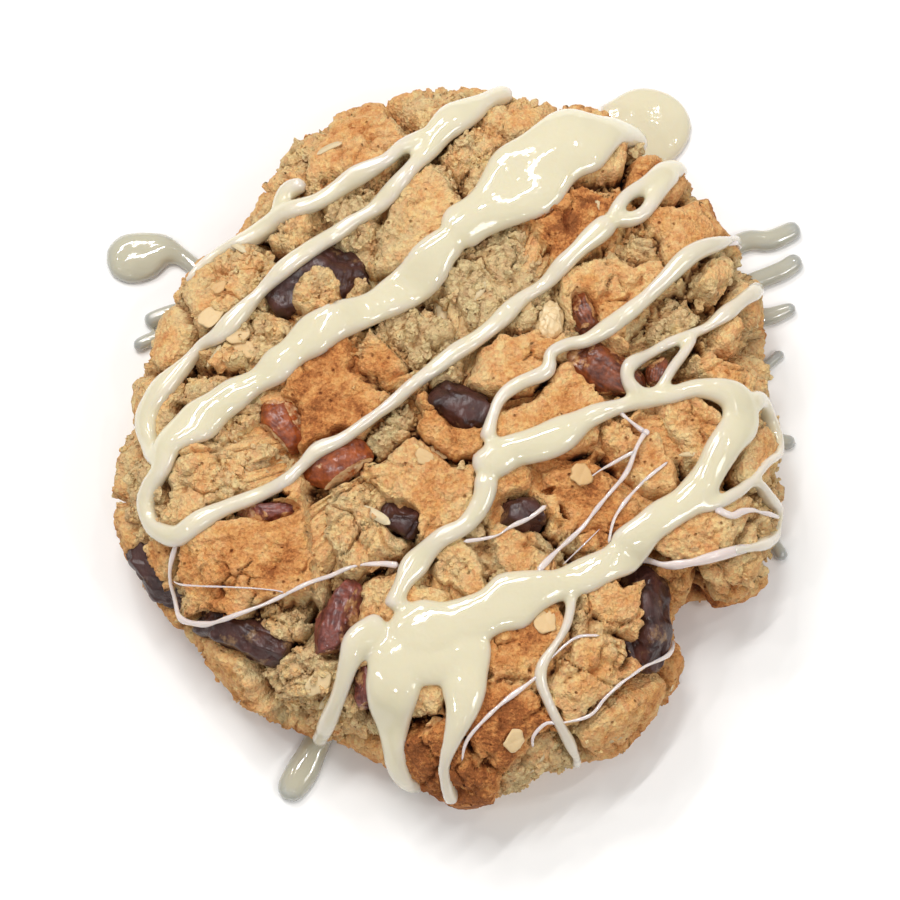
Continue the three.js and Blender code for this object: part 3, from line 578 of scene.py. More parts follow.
# Adds a node with its settings, and links its inputs to the outputs given.
def addNode(tree, kind, settings=None, links=None, stops=()):
    node = tree.nodes.new("ShaderNode" + kind)
    for key, value in (settings or {}).items():
        if isinstance(key, str) and hasattr(node, key):
            setattr(node, key, value)
        else:
            node.inputs[key].default_value = value
    for key, output in (links or {}).items():
        tree.links.new(output, node.inputs[key])
    while stops and len(node.color_ramp.elements) < len(stops):
        node.color_ramp.elements.new(0.5)
    for n, (place, colour) in enumerate(stops):
        node.color_ramp.elements[n].position = place
        node.color_ramp.elements[n].color = colour if isinstance(colour, tuple) else hexColour(colour)
    return node


def newMaterial(name):
    material = bpy.data.materials.new(name)
    material.use_nodes = True
    material.node_tree.nodes.clear()
    return material, material.node_tree


def finishMaterial(tree, settings, links):
    shader = addNode(tree, "BsdfPrincipled", settings, links)
    addNode(tree, "OutputMaterial", links={"Surface": shader.outputs[0]})


def perMetre(size):
    return 1000 / size  # pattern scale for features of this many millimetres


def grey(value):
    return (value, value, value, 1)


def placeOf(tree):
    return addNode(tree, "TexCoord").outputs["Object"]


def attributeOf(tree, name):
    return addNode(tree, "Attribute", {"attribute_name": name}).outputs["Fac"]


def noiseOf(tree, place, size, detail=2.0, roughness=0.5):
    settings = {"Scale": perMetre(size), "Detail": detail, "Roughness": roughness}
    return addNode(tree, "TexNoise", settings, {"Vector": place}).outputs["Fac"]


def cellsOf(tree, place, size):
    return addNode(tree, "TexVoronoi", {"Scale": perMetre(size)}, {"Vector": place}).outputs


def rampOf(tree, value, stops):
    return addNode(tree, "ValToRGB", links={"Fac": value}, stops=stops).outputs["Color"]


# One value times a factor, plus another.
def addedTo(tree, base, value, factor, clamped=False):
    settings = {"operation": "MULTIPLY_ADD", 1: factor, "use_clamp": clamped}
    return addNode(tree, "Math", settings, {0: value, 2: base}).outputs[0]


def blended(tree, blend, factor, under, over):
    settings = {"data_type": "RGBA", "blend_type": blend, 0: factor}
    return addNode(tree, "Mix", settings, {6: under, 7: over}).outputs[2]


# Strength and distance in millimetres, then the height, over another bump where one is given.
def bumped(tree, form, height, below=None):
    links = {"Height": height}
    if below is not None:
        links["Normal"] = below
    return addNode(tree, "Bump", {"Strength": form[0], "Distance": form[1] * mm}, links).outputs[0]


doughLook = {
    # paler to browner crust
    "browning": [
        (0.0, "#D4B98A"), (0.22, "#DAB987"), (0.42, "#E5BA81"), (0.58, "#E2AC71"), (0.74, "#D99A5C"),
        (0.9, "#C17B42"), (1.0, "#98592D"),
    ],
    # painted shade: what the colour is multiplied by in a hollow, from none to the deepest
    "hollows": [(0.0, "#FFFFFF"), (0.3, "#D9C3AE"), (0.62, "#7E5C45"), (1.0, "#241410")],
    # a hollow starts this far below the dough round it, and is darkest this much deeper
    "hollowFrom": (0.2, 2.2),
    "grainSize": 0.5, "flakeSize": 1.2, "blotchSize": 3.6, "pitSize": 1.7,
    "blotches": 0.55, "grains": 0.6, "middle": 0.6,  # how much blotches and grains shift the browning
    "flakeTones": (0.4, 0.62), "flakeShare": 0.6, "fineTones": (0.32, 0.7), "fineShare": 0.55,
    "pitEdge": (0.06, 0.17), "pitsFrom": 0.55, "pitShade": 0.5,
    "fineRise": 0.7, "flakeRise": 0.8, "bump": (0.9, 0.5), "roughness": 0.78,
}


# Baked oat dough: dry, sandy and matt, with golden sugar-browned plates and pale crumb in the breaks. Its
# hollows
#  and pits are darkened with painted shade.
def bakedDough():
    material, tree = newMaterial("baked_oat_dough")
    look = doughLook
    place = placeOf(tree)
    blotch = noiseOf(tree, place, look["blotchSize"], 5.0, 0.65)
    grain = noiseOf(tree, place, look["grainSize"], 3.0, 0.7)
    flakes = cellsOf(tree, place, look["flakeSize"])
    fine = cellsOf(tree, place, look["grainSize"])
    pits = cellsOf(tree, place, look["pitSize"])
    shade = addedTo(tree, attributeOf(tree, "brown"), blotch, look["blotches"])
    shade = addedTo(tree, shade, grain, look["grains"])
    shade = addNode(tree, "Math", {"operation": "SUBTRACT", 1: look["middle"]}, {0: shade}).outputs[0]
    colour = rampOf(tree, shade, look["browning"])
    for cells, tones, share in ((flakes, "flakeTones", "flakeShare"), (fine, "fineTones", "fineShare")):
        dark, light = look[tones]
        tone = rampOf(tree, cells["Color"], [(0.0, grey(dark)), (1.0, grey(light))])
        colour = blended(tree, "OVERLAY", look[share], colour, tone)
    inner, outer = look["pitEdge"]
    pitMask = rampOf(tree, pits["Distance"], [(inner, grey(1.0)), (outer, grey(0.0))])
    settings = {"operation": "GREATER_THAN", 1: look["pitsFrom"]}
    pitted = addNode(tree, "Math", settings, {0: pits["Color"]}).outputs[0]
    pitMask = addNode(tree, "Math", {"operation": "MULTIPLY"}, {0: pitMask, 1: pitted}).outputs[0]
    # Painted shade: the colour darkens by how deep the dough lies below its surroundings, and in the pits.
    depth = addedTo(tree, attributeOf(tree, "hollow"), pitMask, look["pitShade"], True)
    colour = blended(tree, "MULTIPLY", 1.0, colour, rampOf(tree, depth, look["hollows"]))
    rise = addedTo(tree, grain, fine["Distance"], look["fineRise"])
    rise = addNode(tree, "Math", {"operation": "SUBTRACT"}, {0: rise, 1: pitMask}).outputs[0]
    rise = addedTo(tree, rise, flakes["Color"], look["flakeRise"])
    finishMaterial(tree, {"Roughness": look["roughness"], "IOR": 1.45, "Specular IOR Level": 0.3},
                   {"Base Color": colour, "Normal": bumped(tree, look["bump"], rise)})
    return material


# low and the thin colour beside it are painted shade, for what lies low on the table.
pourLook = {
    "thick": "#DBD2B4", "thin": "#D7CDC0", "thread": "#DFD0CA", "low": "#BDB8A2", "shadedLowThin": "#A6A7A2",
    "rippleSize": 1.6, "bump": (0.13, 0.6),
}
pourShader = {
    "Roughness": 0.07, "IOR": 1.46, "Specular IOR Level": 0.8, "Coat Weight": 0.6, "Coat Roughness": 0.04,
    "Subsurface Weight": 0.5, "Subsurface Radius": (1.0, 0.8, 0.5), "Subsurface Scale": 1.1 * mm,
}


# White chocolate, poured warm and set: smooth and glossy, creamy where it is thick and paler, almost lilac,
#  where it is drawn thin, with light that goes a little way in. Where it lies low on the table it is greyed
#  with painted shade.
def setWhiteChocolate(name, thinnest):
    material, tree = newMaterial(name)
    thin = attributeOf(tree, "thin")
    tones = []
    # The second pair of tones, for what lies low on the table, is painted shade.
    for full, drawn in (("thick", thinnest), ("low", "shadedLowThin")):
        settings = {"data_type": "RGBA", 6: hexColour(pourLook[full]), 7: hexColour(pourLook[drawn])}
        tones.append(addNode(tree, "Mix", settings, {0: thin}).outputs[2])
    links = {0: attributeOf(tree, "low"), 6: tones[0], 7: tones[1]}
    colour = addNode(tree, "Mix", {"data_type": "RGBA"}, links).outputs[2]
    normal = bumped(tree, pourLook["bump"], noiseOf(tree, placeOf(tree), pourLook["rippleSize"]))
    finishMaterial(tree, pourShader, {"Base Color": colour, "Normal": normal})
    return material


chocolateLook = {
    "dark": "#2E1714", "light": "#52302A", "dust": "#96744F", "roughness": 0.33,
    "cloudSize": 2.6, "dustSize": 3.4, "dustEdge": (0.56, 0.66), "dustShare": 0.75,
    "scuffSize": 0.5, "scuffStretch": (1.0, 0.22, 1.0), "scuffTurn": 0.6,
    "scuffBump": (0.4, 0.3), "dustBump": (0.3, 0.5),
}


# Dark chocolate that softened in the oven and set again: satin, purple brown, scuffed, with crumbs stuck to
# it.
def ovenChocolate():
    material, tree = newMaterial("oven_softened_chocolate")
    look = chocolateLook
    place = placeOf(tree)
    settings = {"Scale": look["scuffStretch"], "Rotation": (0.0, 0.0, look["scuffTurn"])}
    squeezed = addNode(tree, "Mapping", settings, {"Vector": place}).outputs[0]
    scuffs = noiseOf(tree, squeezed, look["scuffSize"], 4.0)
    clouds = noiseOf(tree, place, look["cloudSize"], 6.0, 0.6)
    tone = rampOf(tree, clouds, [(0.35, look["dark"]), (0.65, look["light"])])
    dust = noiseOf(tree, place, look["dustSize"], 7.0, 0.72)
    clear, dusty = look["dustEdge"]
    mask = rampOf(tree, dust, [(clear, grey(0.0)), (dusty, grey(look["dustShare"]))])
    settings = {"data_type": "RGBA", 7: hexColour(look["dust"])}
    colour = addNode(tree, "Mix", settings, {0: mask, 6: tone}).outputs[2]
    normal = bumped(tree, look["dustBump"], dust, bumped(tree, look["scuffBump"], scuffs))
    settings = {"Roughness": look["roughness"], "IOR": 1.5}
    finishMaterial(tree, settings, {"Base Color": colour, "Normal": normal})
    return material


pecanLook = {
    "mottleSize": 1.3, "wrinkleShade": 0.14, "toneEdge": (0.36, 0.66), "wornSize": 2.4,
    "wornEdge": (0.66, 0.74), "grainSize": 0.4, "mottleBump": (0.6, 0.3), "grainBump": (0.35, 0.2),
}
pecanShader = {"Roughness": 0.32, "IOR": 1.47, "Coat Weight": 0.35, "Coat Roughness": 0.18}


# Toasted pecan: an oily brown skin with fine wrinkles along the nut, and pale flesh where it broke.
def toastedPecan(name, deep, skin, flesh, bare):
    material, tree = newMaterial(name)
    look = pecanLook
    place = placeOf(tree)
    mottle = noiseOf(tree, place, look["mottleSize"], 6.0, 0.65)
    # Painted shade in the wrinkles: the skin is darker in their grooves and lighter on their ridges.
    shade = addedTo(tree, mottle, attributeOf(tree, "wrinkle"), look["wrinkleShade"])
    dark, light = look["toneEdge"]
    tone = rampOf(tree, shade, [(dark, deep), (light, skin)])
    worn = noiseOf(tree, place, look["wornSize"], 7.0, 0.6)
    reach = addedTo(tree, worn, attributeOf(tree, "broken"), bare, True)
    whole, bared = look["wornEdge"]
    mask = rampOf(tree, reach, [(whole, grey(0.0)), (bared, grey(1.0))])
    inner = rampOf(tree, mottle, [(0.35, skin), (0.6, flesh)])
    colour = addNode(tree, "Mix", {"data_type": "RGBA"}, {0: mask, 6: tone, 7: inner}).outputs[2]
    grain = noiseOf(tree, place, look["grainSize"], 3.0)
    normal = bumped(tree, look["grainBump"], grain, bumped(tree, look["mottleBump"], mottle))
    finishMaterial(tree, pecanShader, {"Base Color": colour, "Normal": normal})
    return material


flakeLook = {"mottleSize": 0.9, "mottles": 0.45, "bump": (0.4, 0.2)}
flakeShader = {
    "Roughness": 0.55, "IOR": 1.45, "Subsurface Weight": 0.3, "Subsurface Radius": (1.0, 0.8, 0.5),
}


# Rolled oats and coconut: pale and papery, a little see-through at the rim, with faint veins.
def paperyFlake(name, pale, deep, depth):
    material, tree = newMaterial(name)
    mottle = noiseOf(tree, placeOf(tree), flakeLook["mottleSize"], 4.0)
    shade = addedTo(tree, attributeOf(tree, "own"), mottle, flakeLook["mottles"], True)
    tone = rampOf(tree, shade, [(0.25, pale), (1.0, deep)])
    settings = {**flakeShader, "Subsurface Scale": depth * mm}
    finishMaterial(tree, settings, {"Base Color": tone, "Normal": bumped(tree, flakeLook["bump"], mottle)})
    return material


doughMaterial = bakedDough()
pourMaterial = setWhiteChocolate("set_white_chocolate", "thin")
threadMaterial = setWhiteChocolate("drawn_white_chocolate", "thread")
chocolateMaterial = ovenChocolate()
redPecan = toastedPecan("toasted_pecan_red", "#512420", "#8C4A3C", "#C79A68", 0.2)
brownPecan = toastedPecan("toasted_pecan_brown", "#4C2012", "#8A4522", "#CFA06C", 0.2)
orangePecan = toastedPecan("toasted_pecan_orange", "#68280C", "#A65018", "#E0C092", 0.3)
palePecan = toastedPecan("broken_pecan_flesh", "#C79E68", "#D6B37E", "#E4CBA0", 0.6)
oatMaterial = paperyFlake("rolled_oat", "#DCC295", "#CFA873", 0.4)
coconutMaterial = paperyFlake("shredded_coconut", "#D8C6A2", "#C7A878", 0.6)
print("materials made")


# How deep a place lies below the dough round it, from 0 to 1. The dough's colour is darkened by it as painted
# shade.
def hollowness(height, x, y):
    shallow, depth = doughLook["hollowFrom"]
    return np.clip((readMap(relief["average"], x, y) - height - shallow) / depth, 0, 1)


# Numbers only the vertices that some face uses, after some were folded into a pole.
def tidied(points, numbers, values=None):
    quads, triangles = gridFaces(numbers)
    used, packed = np.unique(np.concatenate([quads.ravel(), triangles.ravel()]), return_inverse=True)
    faces = [packed[:quads.size].reshape(-1, 4), packed[quads.size:].reshape(-1, 3)]
    return points[used], faces, {key: value[used] for key, value in (values or {}).items()}


# The top as one grid: a square spread over a disc, finest all over, that dives under the side piece at its
# rim and closes at one point below.
def makeTop():
    count = crust["topGrid"]
    line = np.linspace(-1, 1, count + 1)
    u, v = np.meshgrid(line, line, indexing="ij")
    flatter = np.abs(u) > np.abs(v)
    reach = np.where(flatter, u, v)
    safe = np.where(reach == 0, 1, reach)
    turn = np.where(flatter, (math.pi / 4) * v / safe, math.pi / 2 - (math.pi / 4) * u / safe)
    angle = np.where(reach < 0, turn + math.pi, turn).ravel()
    distance = np.abs(reach).ravel() * crust["topReach"]
    x, y = distance * np.cos(angle), distance * np.sin(angle)
    point, out, _, _ = skinFrame(x, y)
    height, brown, _ = doughRelief(point)
    dive = crust["overlapSink"] * smooth(distance, crust["topReach"] - crust["overlap"], crust["topReach"])
    place = point + out * (height - dive)[:, None]
    numbers = np.arange(len(place)).reshape(count + 1, count + 1)
    pole = numbers[0, 0]
    place[pole] = (0, 0, crust["poleHeight"])
    numbers[[0, -1], :] = pole
    numbers[:, [0, -1]] = pole
    # hollow: painted shade, darker where the dough lies below its surroundings.
    place, faces, values = tidied(place, numbers, {"brown": brown, "hollow": hollowness(height, x, y)})
    return makePiece("dough_top", place, faces, doughMaterial, values)


# The side as a grid of rings: from under the top piece out over the shoulder, down to the foot, and in
# along the underside to the middle.
def makeSide():
    angle = np.linspace(0, 2 * math.pi, crust["sideColumns"], endpoint=False)[None, :]
    foot = outlineAt(angle) - body["shoulderWidth"] + shoulderLength + footLength
    inner = np.array([0.0, 0.5, 0.9])[:, None] * crust["sideFrom"] + 0 * angle
    share = np.linspace(0, 1, crust["sideRows"])[:, None]
    skin = crust["sideFrom"] + share * (foot - crust["sideFrom"])
    under = np.linspace(0, 1, crust["underRows"] + 1)[1:, None] * (outlineAt(angle) - body["footWidth"])
    distance = np.vstack([inner, skin, foot + under])
    angle = (angle + 0 * distance).ravel()
    below = np.repeat(np.arange(len(distance)) >= len(inner) + len(skin), distance.shape[1])
    shape = distance.shape
    distance = distance.ravel()
    x, y = distance * np.cos(angle), distance * np.sin(angle)
    point, out, _, _ = skinFrame(x, y)
    height, brown, _ = doughRelief(point)
    dive = 1 - smooth(distance, crust["sideFrom"], crust["sideFrom"] + crust["overlap"])
    place = point + out * (height - crust["overlapSink"] * dive)[:, None]
    underside = crust["under"]
    dimples = underside["depth"] * np.clip(noises(point, underside["dimples"]), 0, 1)
    place[:, 2] = np.where(below, dimples, np.maximum(place[:, 2], 0))
    place[below, :2] = point[below, :2]
    # hollow is painted shade: the side darkens in its hollows, and the underside in its dimples.
    values = {
        "hollow": np.where(below, dimples, hollowness(height, x, y)),
        "brown": np.where(below, underside["brown"] + noises(point, underside["mottle"]), brown),
    }
    place, faces, values = tidied(place, ringNumbers(*shape), values)
    return makePiece("dough_side", place, faces, doughMaterial, values)


for piece in (makeTop(), makeSide()):
    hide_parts("cookie")
    print("dough made:", piece.name, len(piece.data.polygons), "faces")

chunkForm = {
    "rows": 72, "columns": 96,
    "chocolate": {"power": 3, "size": 0.95, "uneven": 0.07, "chips": (2.8, 0.22), "fine": (0.8, 0.04),
                  "breaks": 5, "breakFrom": 0.68, "breakTo": 0.96},
    "pecan": {"groove": 0.12, "grooveWidth": 0.17, "ridge": 0.03, "ridges": 9, "uneven": 0.06,
              "wrinkle": 0.08, "wrinkles": 27, "flesh": 0.16,
              "dents": [(2.4, 0.25, 136), (1.1, 0.16, 133), (0.4, 0.07, 134)],
              "breaks": 3, "breakFrom": 0.62, "breakTo": 0.9},
    # broken faces: turn of the first, how far they stray from evenly round and tip, rounding of edges
    "breakFirst": math.pi, "breakStray": 0.5, "breakTip": (-0.1, 0.8), "breakRound": 0.04,
    "slump": (3.0, 0.45),
}
# material, how deep its wrinkles are, and whether it is broken all over
pecanKinds = {
    "red": (redPecan, 0.6, False), "brown": (brownPecan, 1, False), "orange": (orangePecan, 0.3, False),
    "flesh": (palePecan, 0, True),
}
kindOf = {
    "pecan_1": "orange", "pecan_2": "brown", "pecan_3": "brown", "pecan_4": "red", "pecan_5": "orange",
    "pecan_6": "brown", "pecan_7": "red", "pecan_8": "red", "pecan_9": "flesh",
}


# Directions over a ball, on a grid of turn and distance from a pole, with the poles on the long axis.
def ballGrid(rows, columns):
    fall = np.linspace(0, math.pi, rows + 1)[:, None]
    turn = np.linspace(0, 2 * math.pi, columns + 1)[None, :-1]
    parts = np.cos(fall), np.sin(fall) * np.cos(turn), np.sin(fall) * np.sin(turn)
    direction = np.stack(np.broadcast_arrays(*parts), -1).reshape(-1, 3)
    return tidied(direction, ringNumbers(rows + 1, columns))[:2]


# Flat broken faces: planes at drawn distances from the middle, past which a piece has no substance. Gives
# the radius at which each direction meets the nearest of them.
def breakRadius(direction, form, index):
    radius = np.full(len(direction), 9.0)
    low, high = chunkForm["breakTip"]
    for n in range(form["breaks"]):
        share = (n + chunkForm["breakStray"] * (drawLump(index, 201 + n) - 0.5)) / form["breaks"]
        turn = chunkForm["breakFirst"] + 2 * math.pi * share
        tip = low + (high - low) * drawLump(index, 211 + n)
        normal = unit(np.array([math.cos(turn), math.sin(turn), tip]))
        distance = form["breakFrom"] + (form["breakTo"] - form["breakFrom"]) * drawLump(index, 221 + n)
        radius = np.minimum(radius, distance / np.maximum(direction @ normal, 0.02))
    return radius


# The smaller of two radii, with the edge between them a little rounded.
def blunted(one, two):
    spread = chunkForm["breakRound"]
    return 0.5 * (one + two - np.sqrt((one - two) ** 2 + spread ** 2))


# A block with soft corners: the radius at which the parts' cubes add up to one.
def chocolateRadius(direction, chunk):
    form = chunkForm["chocolate"]
    radius = np.sum(np.abs(direction) ** form["power"], axis=1) ** (-1 / form["power"]) * form["size"]
    return radius * (1 + form["uneven"] * noise(direction + 0.31 * chunk["middle"], 0.9, 7))


# A rounded back with a groove along it, ribs beside the groove and fine wrinkles across them.
def pecanRadius(direction, chunk):
    form = chunkForm["pecan"]
    x, y, z = direction.T
    dip = form["groove"] * np.exp(-((y / form["grooveWidth"]) ** 2)) * np.maximum(z, 0)
    ribs = form["ridge"] * np.cos(form["ridges"] * np.arctan2(y, z)) * (1 - x * x)
    return 1 - dip + ribs + form["uneven"] * noise(direction + 0.31 * chunk["middle"], 0.8, 8)


def chocolateHeight(place):
    form = chunkForm["chocolate"]
    scale, amount = form["chips"]
    level, side = chips(wander(place, 0.5, 1.5, 141), scale, 144, 1.4)
    fineScale, fineAmount = form["fine"]
    fineLevel = chips(place, fineScale, 151, 1.2)[0]
    slumpScale, slump = chunkForm["slump"]
    height = amount * (level - 0.5 * (1 - smooth(side, 0, 0.15))) + fineAmount * fineLevel
    return height + slump * noise(place, slumpScale, 156)


# How far a nut's skin stands out: its wrinkles, its dents, and rough flesh where it broke. Also gives the
# wrinkles alone.
def pecanHeight(direction, place, broken, wrinkled):
    form = chunkForm["pecan"]
    turn = np.arctan2(direction[:, 1], direction[:, 2])
    wrinkle = np.cos(form["wrinkles"] * turn + 6 * noise(place, 2.2, 131)) * (1 - direction[:, 0] ** 2)
    wrinkle = wrinkle * (0.5 + 0.5 * noise(place, 1.3, 132)) * (1 - broken) * wrinkled
    height = form["wrinkle"] * wrinkle + noises(place, form["dents"])
    return height + broken * form["flesh"] * chips(place, 1.0, 135, 1.4)[0], wrinkle


def makeChunks():
    direction, faces = ballGrid(chunkForm["rows"], chunkForm["columns"])
    for index, (name, chunk) in enumerate(chunks.items()):
        nut = name in pecanPieces
        form = chunkForm["pecan" if nut else "chocolate"]
        whole = pecanRadius(direction, chunk) if nut else chocolateRadius(direction, chunk)
        face = breakRadius(direction, form, index)
        radius = blunted(whole, face)
        place = (direction * radius[:, None] * chunk["axes"]) @ chunk["sides"] + chunk["middle"]
        outward = unit(direction / chunk["axes"]) @ chunk["sides"]
        if nut:
            material, wrinkled, allBroken = pecanKinds[kindOf[name]]
            broken = np.maximum(smooth(whole - face, -0.02, 0.03), float(allBroken))
            height, wrinkle = pecanHeight(direction, place, broken, wrinkled)
            place = place + outward * height[:, None]
            values = {"wrinkle": wrinkle, "broken": broken}
            piece = makePiece(name + "_nut", place, faces, material, values)
        else:
            place = place + outward * chocolateHeight(place)[:, None]
            piece = makePiece(name + "_piece", place, faces, chocolateMaterial)
        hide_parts(name)


makeChunks()
print("chunks made:", len(chunks))

# x, y, half width on the skin laid out flat
pourStrands = [
    [(8.5, 54, 2), (2.5, 47.5, 2.1), (-2, 43, 2.3), (-5, 38.5, 1.5), (-10, 32.5, 1.2), (-15, 29, 1.3),
     (-19.5, 25.5, 1.4), (-23.5, 22, 1.5), (-27.5, 18.5, 1.1), (-33, 12.5, 1.3), (-36.5, 11, 0.8),
     (-40, 7.5, 1.3), (-43, 4, 1.8), (-45, 0.5, 2), (-43.5, -4, 1.3), (-41, -6.5, 1.1)],
    [(-2.5, 42.5, 1.8), (-7, 40.5, 1.1), (-10, 38, 0.9), (-15, 35.5, 1.3), (-20.5, 32, 1.1),
     (-25.5, 31, 1.3), (-29, 30, 1.7), (-32, 28, 1.2), (-36, 26.5, 0.8), (-40, 22, 0.6)],
    [(-26.5, 31, 0.9), (-24.5, 34.5, 1.1), (-21.5, 35.5, 0.7)],
    [(31, 49, 1.6), (22, 43.5, 4), (15.5, 40, 5), (9.5, 34.5, 5.4), (4, 30, 4.4), (-1.5, 26.2, 2.9)],
    [(1, 26.8, 2.2), (-2, 24.4, 2.6), (-5, 21, 3.1), (-10, 17, 2.7), (-16, 13.5, 2.8), (-21, 10.5, 3.1),
     (-26, 6.5, 2.7), (-31.5, 3, 2.4), (-36.5, -1, 2.5), (-40, -4, 1.9), (-41, -7.5, 1.3), (-43, -10, 1.2),
     (-44, -12.5, 1.3), (-42.5, -15.5, 1.5), (-38.5, -17, 1.5), (-35, -15, 1.4), (-31, -13, 1.1),
     (-24, -10, 0.9), (-21.5, -7.8, 0.7), (-19, -5.5, 1), (-15.5, -4, 0.8), (-11, -0.5, 0.7),
     (-7.5, 2.5, 1.1), (-0.5, 8.5, 1.1), (5, 12.5, 1.4), (9.5, 17, 1.4), (13, 19.5, 1.3), (16, 22.5, 1.4),
     (19.5, 26, 1.8), (22.8, 28.9, 1.5)],
    [(22.5, 28.7, 1.1), (23.7, 31.1, 0.95), (25.2, 32.9, 0.85), (28, 34.8, 1.1), (31.5, 38, 1.5),
     (36, 42, 0.9)],
    [(22.5, 28.7, 1.1), (25.5, 29.2, 0.95), (27.5, 30.4, 0.85), (29.2, 33.3, 1.1), (32, 37.8, 1.3)],
    [(44.4, 30.9, 1.4), (41.8, 28.9, 0.55), (39.5, 27.2, 0.9), (37.5, 26, 1.1), (33.5, 23.5, 1.3),
     (26.5, 16.5, 1.3), (19.5, 11, 1.3), (16, 10, 1.1), (13.5, 8.5, 1), (13, 6, 1.1), (9, 4, 1.3),
     (6.5, 2, 1), (5.3, -1, 0.9), (4.5, -4.5, 1.3)],
    [(2.4, -6.4, 1.2), (4.5, -7, 2.8), (8.5, -5.5, 2.5), (13.5, -4, 2.7), (19, -0.5, 2.1), (23.5, 1.2, 1.5),
     (27, 2.5, 1.7), (30.5, 3, 1.1), (34.5, 4, 1.2), (39, 3, 2.2), (40.5, -0.3, 3), (38, -4, 2.5),
     (35.5, -8.5, 2.4), (33, -12, 2.7), (28.5, -15, 2.8), (25, -18, 2.8), (23, -20.5, 2.4), (18, -23, 2.1),
     (14.5, -24.3, 2.8), (10.5, -25.4, 3.6), (6.5, -27.3, 4.5), (0.5, -30.2, 4.4), (-5, -31.3, 4.3),
     (-9.5, -31.5, 3)],
    [(-9, -34.4, 3.2), (-4, -35.3, 3.5), (1.8, -34.8, 3.8)],
    [(4.5, -8.5, 2.3), (4, -12.5, 1.4), (1.5, -16, 1.3), (-2, -18, 1.8), (-5.5, -21.5, 2), (-7.5, -25, 1.3),
     (-8.5, -28, 1.5)],
    [(26.5, 2.5, 1.5), (24.5, 4.5, 1.3), (24.5, 6.8, 1.2), (27, 8.8, 1.1), (30.5, 11, 0.8), (34, 12.6, 0.7),
     (37, 14, 0.9), (40.5, 17, 1.3), (45, 21, 1.3), (48.5, 24, 1)],
    [(27.5, 2.5, 1), (29.2, 4.2, 0.7), (30.9, 7, 0.7), (32.7, 9.5, 0.7), (34.5, 12.5, 0.7)],
    [(-9, -30, 2.4), (-13, -32, 1.8), (-14.5, -35, 1.4), (-15.5, -38, 1.2), (-17, -41.5, 1.2),
     (-20, -47.5, 1.3), (-22.5, -52, 1.3), (-24.5, -60, 1.6)],
    [(-7.5, -31, 3.2), (-8, -35, 3.7), (-8.4, -38.7, 3.7), (-9, -43, 2.8), (-8.8, -48, 2.1),
     (-7.5, -56, 1.8), (-6, -64, 1.6)],
    [(0.8, -30, 4.6), (1.5, -35.5, 4.2), (1.4, -38.5, 3.6), (1.1, -41.5, 2.2), (-0.2, -45.3, 1.2),
     (-1.3, -49.3, 0.7), (-0.9, -53, 0.7), (0, -57, 0.8)],
    [(33, -13, 1.8), (36.5, -12.5, 1.3), (40, -10.5, 1.1), (42.5, -9, 0.9), (46.5, -10.5, 1), (52, -13, 1),
     (51, -16.5, 0.9), (44.5, -18, 0.8), (38.5, -19, 0.7)],
    [(41, 1.5, 1.8), (44.5, 3.6, 1.4), (48, 3, 1.1), (50, 0, 0.9), (49, -3.5, 0.8), (45, -6, 0.7),
     (42, -9, 0.8)],
    [(16.5, -24.5, 0.9), (15.5, -30, 0.7), (12, -36, 0.8), (13, -40.5, 0.7), (17, -48, 0.8),
     (19.5, -54, 0.7)],
]
# x, y, z, half width, seen from above, of what ran past the rim and set on the table
pourOverruns = [
    [(-33.5, 23.5, 0.4, 1.2), (-38.5, 27.7, 0.4, 1.3), (-41.6, 30, 0.4, 1.5), (-44, 30.6, 0.3, 2.9),
     (-47.5, 29.8, 0.2, 4), (-52.5, 28.8, 0.2, 3.7)],
    [(-36.5, 21.5, 0.4, 1.2), (-41.8, 21.1, 0.4, 1.3), (-46.6, 19.4, 0.4, 1.2)],
    [(-36.5, 17.8, 0.4, 1.1), (-42.2, 17.5, 0.4, 1.1), (-45.5, 16.7, 0.4, 1.1), (-48, 15.3, 0.4, 1)],
    [(35, 27, 0.4, 1.4), (43.5, 32, 0.4, 1.6), (47.7, 32.4, 0.4, 1.6), (52.4, 34.6, 0.4, 1.5)],
    [(38, 22.5, 0.4, 1.3), (43.7, 25.2, 0.4, 1.5), (49, 27.4, 0.4, 1.5), (52.4, 29.7, 0.4, 1.4)],
    [(40, 18.6, 0.4, 1.2), (44.7, 20.1, 0.4, 1.4), (47.4, 20.4, 0.4, 1.4), (51.4, 22, 0.4, 0.9)],
    [(40, 9, 0.4, 0.8), (45.3, 11.7, 0.4, 0.8), (49.3, 15, 0.4, 0.8)],
    [(41, 1.5, 0.4, 1), (46.8, 1.4, 0.4, 1.2), (50.8, 0.7, 0.4, 1.1)],
    [(40, -11, 0.4, 0.9), (45.6, -13.1, 0.4, 1), (48.6, -17, 0.4, 1)],
    [(-17.5, -38.5, 0.4, 1.6), (-20.4, -45, 0.4, 2.1), (-22.2, -48.3, 0.4, 2.4), (-24.4, -52, 0.4, 1.9)],
    [(23, 40, 0.3, 3), (27, 47, 0.3, 6), (29.5, 52, 0.2, 7.6), (30.5, 57, 0.2, 6.8)],
]
